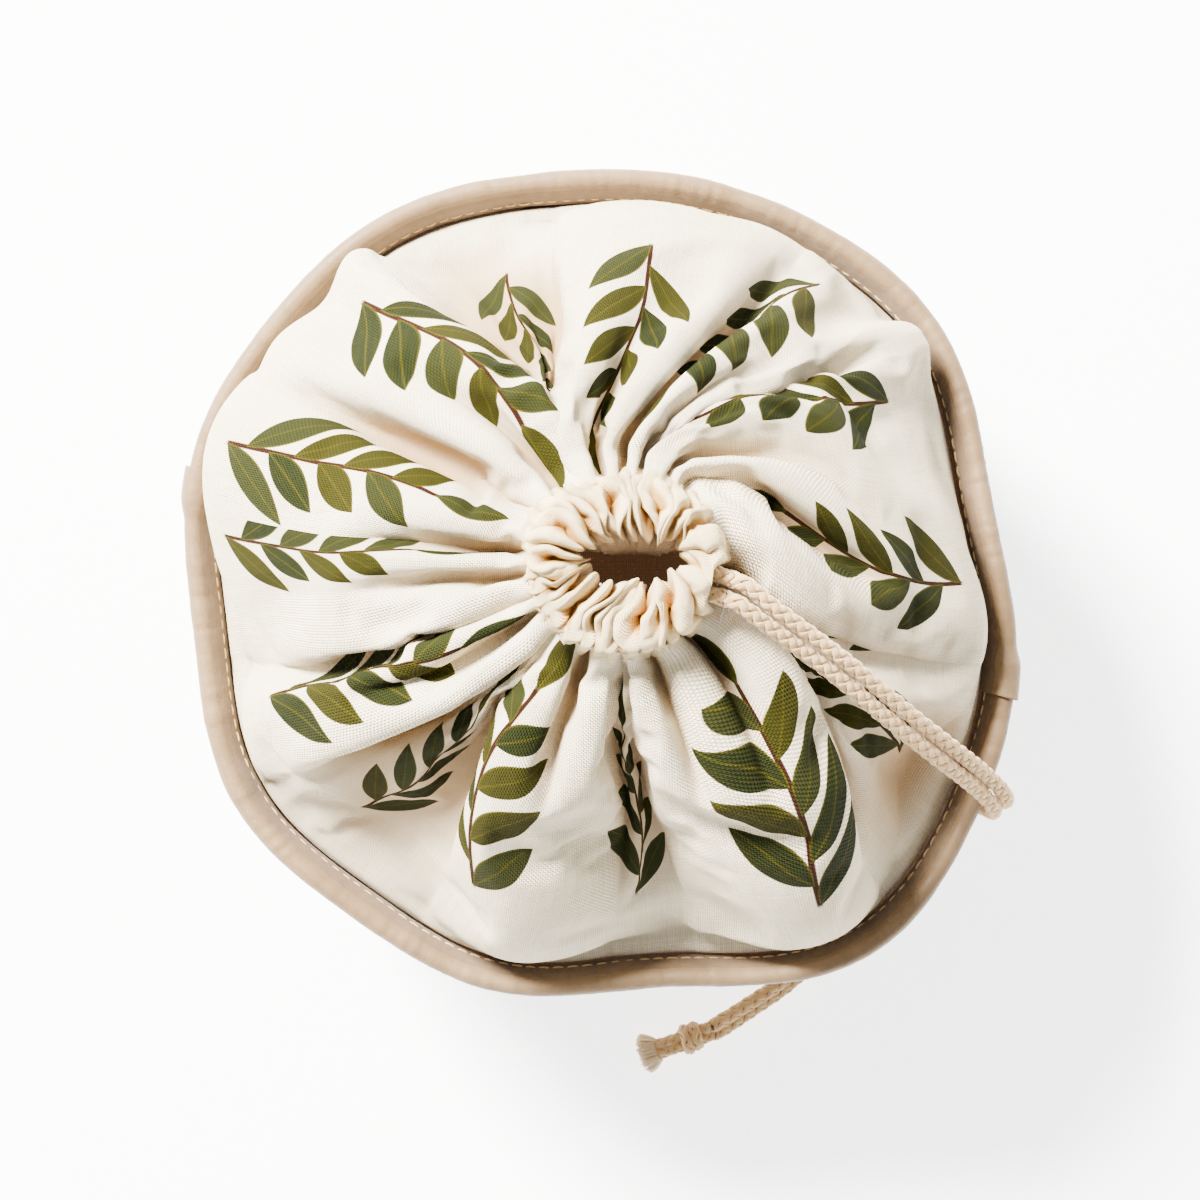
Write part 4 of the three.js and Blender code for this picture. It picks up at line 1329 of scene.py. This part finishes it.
def make_side_seam(half, start, wall):
    """Stitches down the lap of the wall, which follow its dents."""
    z = np.linspace(6, TAPE_BOTTOM - 1, 60)
    angle = math.radians(start) + np.full(60, 1.2 / RIM_RADIUS) - LAP * 0.55 / RIM_RADIUS
    along = np.interp(z, [height for _, height in wall], lengths_along(wall))
    points = place(body_radius(z) + wall_wobble(angle, along), z, angle)
    out = np.stack([np.cos(angle), np.sin(angle), np.zeros(60)], -1)
    return belongs(stitches(f"side_seam_{half}", np.hstack([points, out])), "bag", "wall_cloth")


def make_wall(half, start):
    foot = FLANGE_BOTTOM + WALL / 2
    corner = [(BASE_RADIUS - FLANGE, foot), (BASE_RADIUS - 4.5, foot), (BASE_RADIUS - 2.6, foot + 0.5)]
    wall = corner + inside_body(WALL_OFFSET, WALL, [*np.linspace(4.2, TAPE_BOTTOM, 26), UNDER_ROLL])
    side_wall = swept(f"side_wall_{half}", wall, start, LAP, WALL + 0.1, WALL_STEPS, [wall_leather], WALL,
                      wobble=wall_wobble)
    belongs(side_wall, "bag", "wall_cloth", f"wall_{half}")
    make_side_seam(half, start, wall)


def make_lining(half, start):
    section = inside_body(LINING_OFFSET, LINING, [*np.linspace(LINING_BOTTOM, TAPE_BOTTOM, 14), UNDER_ROLL])
    inside = swept(f"lining_side_{half}", section, start, 0, 0.0, LINING_STEPS, [lining_linen], LINING)
    belongs(inside, "bag", "lining", f"lining_{half}")


def cloth_disc(name, radius, middle_z, thickness, material, sag=0.0):
    """A round of cloth with a gentle unevenness."""
    r = np.linspace(0.004, 1, 24)[:, None] * radius
    a = ring_angles(96)
    x, y = r * np.cos(a), r * np.sin(a)
    z = middle_z + sag * np.sin(x * 0.043 + 1) * np.cos(y * 0.05) * (1 - (r / radius) ** 4)
    points = np.stack([x, y, z], -1)
    return thicken(make_sheet(name, points, [material], points[..., :2], closed=True), thickness)


def make_bottom():
    base = cloth_disc("base_cloth", BASE_RADIUS - 1, BASE_CLOTH / 2, BASE_CLOTH, base_leather)
    belongs(base, "bag", "base_cloth", "outer_base")
    radius = float(body_radius(LINING_BOTTOM)) - LINING_OFFSET - LINING - CLEARANCE
    inside = cloth_disc("lining_round", radius, LINING_BOTTOM + LINING / 2 + 0.25, LINING, lining_linen, 0.22)
    belongs(inside, "bag", "lining", "lining_base")
    board_radius = BASE_RADIUS - FLANGE - CLEARANCE
    board = cloth_disc("felt_board", board_radius, FLANGE_BOTTOM + INSERT / 2, INSERT, insert_felt)
    belongs(board, "bag", "board", "base_insert")


for half_name, half_start in HALVES:
    make_tape(half_name, half_start)
    make_wall(half_name, half_start)
    make_lining(half_name, half_start)
make_bottom()


# Gathered casing round the mouth

# Section from the foot on the linen, over the cord, to the hole's edge and down inside:
# share of the way from the ring to the hole, and height
CASING_SECTION = [(-0.04, 184.5), (0.02, 187.0), (0.1, 190.4), (0.24, 193.6), (0.44, 195.4), (0.62, 195.8),
                  (0.8, 194.8), (0.94, 192.8), (1.0, 189.8), (1.0, 186.6), (0.95, 183.2), (0.88, 179.0)]
CASING_DEPTH = 18
HOLE_CENTRE = (8.8, 6.2)
HOLE_HALF = (14.4, 7.0)
CASING_GIRTH = 470
CASING_ROWS = 54
PLEAT_COLUMNS = 16
PLEAT_DEPTH = (4.8, 7.8, 7.8, 4.2, 4.6)
NARROWEST_PLEAT = 4
CREASE_SHADE = 4.4
FOOT_RISE = 0.7
FOOT_DROP = 6
FOOT_END = 0.3
LOOP_COVER = 0.9
TIP = (0.2, 2.4)
# How far pleats lean over, rise, billow and crumple, coarse and fine, and how far the foot strays, in mm
LEAN = 3.6
RISE = 2.3
BILLOW = 1.5
CRUMPLE = (0.36, 0.16)
FOOT_STRAY = 1.8
# How far the creases wander on their way in, slowly and quickly, in degrees
WANDER = (9.0, 5.0)
SHELF = 0.42
SHELF_FROM = 0.84
SHELF_DROP = 9
EXIT_MOUTH = 26.8
EXIT_FROM = -23
EXIT_TO = 0
# Angles of the two seams between the halves of the casing
CASING_SEAM = 172
EXIT_SEAM = -28
# Pleats: where each crease starts on the ring, and its strength from there to the hole
CASING_CREASES = [
    (-175, 0.9, 1), (-166, 1, 0.3), (-157, 0.7, 1), (-147, 1, 0.8), (-139, 0.2, 1), (-129, 1, 0.6),
    (-118, 0.5, 1), (-107, 1, 0.9), (-97, 0.3, 0.9), (-88, 1, 0.3), (-78, 0.9, 1), (-69, 0.2, 0.8),
    (-60, 1, 0.9), (-49, 1, 1), (-33, 0.5, 0.3), (-13, 0.2, 0.9), (6, 0.1, 0.4), (25, 1, 1),
    (37, 0.6, 1), (48, 1, 0.9), (56, 0.3, 0.9), (64, 1, 1), (72, 0.8, 0.9), (80, 1, 1), (89, 0.4, 0.9),
    (97, 1, 0.9), (106, 0.9, 1), (116, 1, 0.4), (124, 0.3, 1), (133, 1, 0.9), (143, 1, 1),
    (152, 0.3, 0.9), (162, 1, 0.6), (173, 0.8, 1),
]


def casing_line():
    """The casing's section as a fine curve, in millimetres in from the ring and up."""
    table = np.array([(share * CASING_DEPTH, z, 0) for share, z in CASING_SECTION])
    return curve_through(table, 0.25)[:, :2]


def casing_place(across, height, angle):
    """A point of the casing, across millimetres in from its ring."""
    way = np.stack([np.cos(angle), np.sin(angle)], -1)
    ring = MOUTH + ruffle_ring(angle)[..., None] * way
    hole = HOLE_CENTRE + np.multiply(HOLE_HALF, way)
    flat = ring + (hole - ring) * (across / CASING_DEPTH)[..., None]
    return np.concatenate([flat, height[..., None]], -1)


def wandering_creases(start, s):
    """Angles of the creases at one share of the way in: they bend to and fro but never cross."""
    sway = noise_2d(start / 24, s * 2.6, 61, 15) * WANDER[0]
    sway = sway + noise_2d(start / 12, s * 5.0 + 9, 62, 30) * WANDER[1]
    angle = start + sway * smooth(s, 0.0, 0.22)
    width = np.maximum(np.diff(np.append(angle, angle[0] + 360)), NARROWEST_PLEAT)
    width *= 360 / width.sum()
    return np.radians(angle[0] + np.concatenate([[0], np.cumsum(width)]))


def designed_casing():
    """Pleats that wander, vary in height and lap over one another to either side on their way to the hole."""
    start, begin, finish = np.array(sorted(CASING_CREASES), float).T
    count = len(start)
    order = np.arange(count)
    line = casing_line()
    x = (1 - np.cos(np.linspace(0, np.pi, PLEAT_COLUMNS + 1))) / 2
    dip = 1 - np.sqrt(np.clip(1 - np.abs(2 * x - 1) ** 2.8, 0, 1))
    rows, shades = [], []
    for s in np.linspace(0, 1, CASING_ROWS):
        at_line = min(int(s * (len(line) - 1)), len(line) - 2)
        point = line[at_line]
        along = line[min(at_line + 3, len(line) - 1)] - line[max(at_line - 3, 0)]
        normal = np.array([-along[1], along[0]]) / np.linalg.norm(along)
        angle = wandering_creases(start, s)
        strength = begin + (finish - begin) * smooth(s, 0.2, 0.6)
        strength = strength * (1 + 0.35 * noise_2d(order * 1.7, s * 3, 63, count))
        lean = LEAN * noise_2d(order * 1.3 + 0.5, s * 3.0, 64, count) * smooth(s, 0.04, 0.22)
        rise = RISE * noise_2d(order * 1.9, s * 3.4, 65, count) * smooth(s, 0.05, 0.25)
        tip = np.interp(noise_2d(order * 2.3, 0.0, 70, count), (-1, 1), TIP) * smooth(s, 0.4, 0.7)
        depth = float(np.interp(s, np.linspace(0, 1, len(PLEAT_DEPTH)), PLEAT_DEPTH))
        radius = RUFFLE_RING - 15 * s
        drop = SHELF_DROP * float(smooth(s, SHELF_FROM - 0.02, 1.0))
        row, shade = [], []
        for k in range(count):
            width = angle[k + 1] - angle[k]
            near = min(math.degrees(width) / 8, 1.3)
            ends = depth * np.where(x < 0.5, strength[k], strength[(k + 1) % count])
            at = angle[k] + width * x
            turn = np.degrees(at)
            billow = BILLOW * noise_2d(turn / 30, s * 2.2, 66, 12) * smooth(s, 0.1, 0.4)
            crumple = CRUMPLE[0] * noise_2d(turn / 5, s * 16, 67, 72)
            crumple = crumple + CRUMPLE[1] * noise_2d(turn / 2.4, s * 34, 68, 150)
            sunk = ends * dip * near - (rise[k] + 0.9 * billow) * (1 - dip) - crumple
            out = FOOT_STRAY * noise_2d(turn / 36, 3.0, 69, 10) * (1 - smooth(s, 0.2, 0.6))
            shelf = SHELF * smooth(np.sin(at), 0.1, 0.75) * smooth(s, SHELF_FROM, 1.0)
            calm = 1 - smooth(shelf, 0.0, 0.3)
            inward = point[0] - out - normal[0] * sunk * calm
            inward = inward + shelf * CASING_DEPTH + tip[k] * (1 - dip) * calm
            height = point[1] - normal[1] * sunk * calm - shelf / SHELF * drop
            row.append(casing_place(inward, height, at + lean[k] * (1 - dip) * near / radius)[:-1])
            # Painted shade down in each crease of the pleats
            shade.append(np.clip(ends * dip * near / CREASE_SHADE, 0, 1)[:-1])
        rows.append(np.vstack(row))
        shades.append(np.concatenate(shade))
    return np.array(rows), np.array(shades)


def settled_on_linen(points):
    """The foot of the casing lies on the linen's folds and rises from them."""
    settled = points.copy()
    for row, s in zip(settled, np.linspace(0, 1, len(points))):
        if s < FOOT_END:
            grip = 1 - float(smooth(s, 0.0, FOOT_END))
            for point in row:
                ground = height_under(linen_tree, *point) + FOOT_RISE * s / 0.1 - 0.3
                point[2] += (max(ground, point[2] - FOOT_DROP) - point[2]) * grip
    return settled


def over_the_loop(points):
    """The casing's cloth lies over the cord in it and doesn't cut through it."""
    reach = round_mouth(points)[2]
    cover = (CORD / 2 + LOOP_COVER) ** 2 - (reach - LOOP_RADIUS) ** 2
    lid = LOOP_HEIGHT + np.sqrt(np.maximum(cover, 0))
    share = np.linspace(0, 1, len(points))[:, None]
    above = smooth(share, 0.04, 0.12) * (1 - smooth(share, 0.7, 0.8)) * (cover > 0)
    over = points.copy()
    over[..., 2] += np.maximum(lid - points[..., 2], 0) * above
    return over


def lifted_at_exit(points):
    """A slit between two flat flaps of the casing, above the two strands that leave it."""
    x, y, reach, angle = round_mouth(points)
    angle = np.degrees(angle)
    slit = smooth(angle, EXIT_FROM - 2.5, EXIT_FROM + 1.5) * (1 - smooth(angle, EXIT_TO - 1.5, EXIT_TO + 2.5))
    lifted = points.copy()
    above_cord = np.maximum(points[..., 2], LOOP_HEIGHT + CORD / 2 + 1.2)
    lifted[..., 2] += (above_cord - points[..., 2]) * slit * smooth(reach, 19, 22)
    pull = 1 - slit * (1 - EXIT_MOUTH / np.maximum(reach, EXIT_MOUTH))
    lifted[..., 0] = MOUTH[0] + x * pull
    lifted[..., 1] = MOUTH[1] + y * pull
    return lifted


def make_casing():
    points, shade = designed_casing()
    points = lifted_at_exit(over_the_loop(settled_on_linen(points)))
    rows, cols = points.shape[:2]
    angle = np.degrees(round_mouth(points[0])[3])
    seam = int(np.argmin(np.abs((angle - CASING_SEAM) % 360)))
    exit_column = int(np.argmin(np.abs(angle - EXIT_SEAM)))
    doubled = np.concatenate([points, points], 1)
    shade = np.concatenate([shade, shade], 1)
    v = np.concatenate([[0], np.cumsum(np.median(np.linalg.norm(np.diff(points, axis=0), axis=2), axis=1))])
    for half, low, high in (("front", seam, exit_column), ("back", exit_column, seam)):
        span = slice(low, (high if high > low else high + cols) + 1)
        part = doubled[:, span]
        width = part.shape[1]
        uv = pairs((np.arange(span.start, span.stop) * (CASING_GIRTH / cols))[None, :], v[:, None])
        # Rows past the shelf, down in the hole, are darkened as painted shade
        kinds = np.repeat(np.linspace(0, 1, rows - 1) > SHELF_FROM, width - 1)
        obj = make_sheet(f"gathers_{half}", part, [casing_cotton, casing_inside_shade], uv,
                         attributes={"deep": shade[:, span]}, face_materials=kinds)
        belongs(obj, "bag", "casing", f"casing_{half}")
    return surface_tree(points)


casing_tree = make_casing()


# Loose ends of sewing thread near the casing

THREAD_RADIUS = 0.2
TACK = [(5.2, -21.9), (6.4, -21.75), (7.6, -21.8), (9.2, -21.95)]
THREAD_LOOP = [(33.0, -11.3), (33.7, -8.6), (34.5, -6.3), (35.0, -6.1), (35.4, -7.0), (35.6, -9.2)]


def thread_on(name, places, lift):
    """A thread that lies on whatever is on top at its places, with both ends going into the cloth."""
    points = []
    for i, (x, y) in enumerate(places):
        top = max(height_under(tree, x, y, 0.0) for tree in (linen_tree, casing_tree))
        points.append((x, y, top + (lift if 0 < i < len(places) - 1 else -0.3)))
    thread = tube(curve_through(points, 0.4), THREAD_RADIUS, 6)
    belongs(thread_object(name, [thread], white_thread, 0.3), "bag", "casing")


thread_on("tack_stitch", TACK, 0.35)
thread_on("loose_thread", THREAD_LOOP, 0.7)


# Surroundings, in metres

FLOOR_HALF = 6
WORLD_STRENGTH = 1.05
KEY_PLACE = Vector((-1.95, 2.25, 2.8))
KEY_AIM = Vector((0, 0, 0.1))
KEY_SIZE = 1.4
KEY_POWER = 2350
KEY_COLOUR = (1.0, 0.97, 0.93)


def make_stage():
    floor = bpy.data.meshes.new("floor")
    corners = [(x * FLOOR_HALF, y * FLOOR_HALF, 0) for x, y in ((-1, -1), (1, -1), (1, 1), (-1, 1))]
    floor.from_pydata(corners, [], [(0, 1, 2, 3)])
    floor.materials.append(floor_material())
    obj = bpy.data.objects.new("floor", floor)
    bpy.context.scene.collection.objects.link(obj)


def make_key_light():
    light = bpy.data.lights.new("key", "AREA")
    set_all(light, shape="DISK", size=KEY_SIZE, energy=KEY_POWER, color=KEY_COLOUR)
    obj = bpy.data.objects.new("key", light)
    obj.location = KEY_PLACE
    obj.rotation_euler = (KEY_AIM - KEY_PLACE).to_track_quat("-Z", "Y").to_euler()
    bpy.context.scene.collection.objects.link(obj)


def make_world():
    world = bpy.data.worlds.new("studio")
    world.use_nodes = True
    background = world.node_tree.nodes["Background"]
    background.inputs["Color"].default_value = (1.0, 1.0, 1.0, 1)
    background.inputs["Strength"].default_value = WORLD_STRENGTH
    bpy.context.scene.world = world


make_stage()
make_world()
make_key_light()
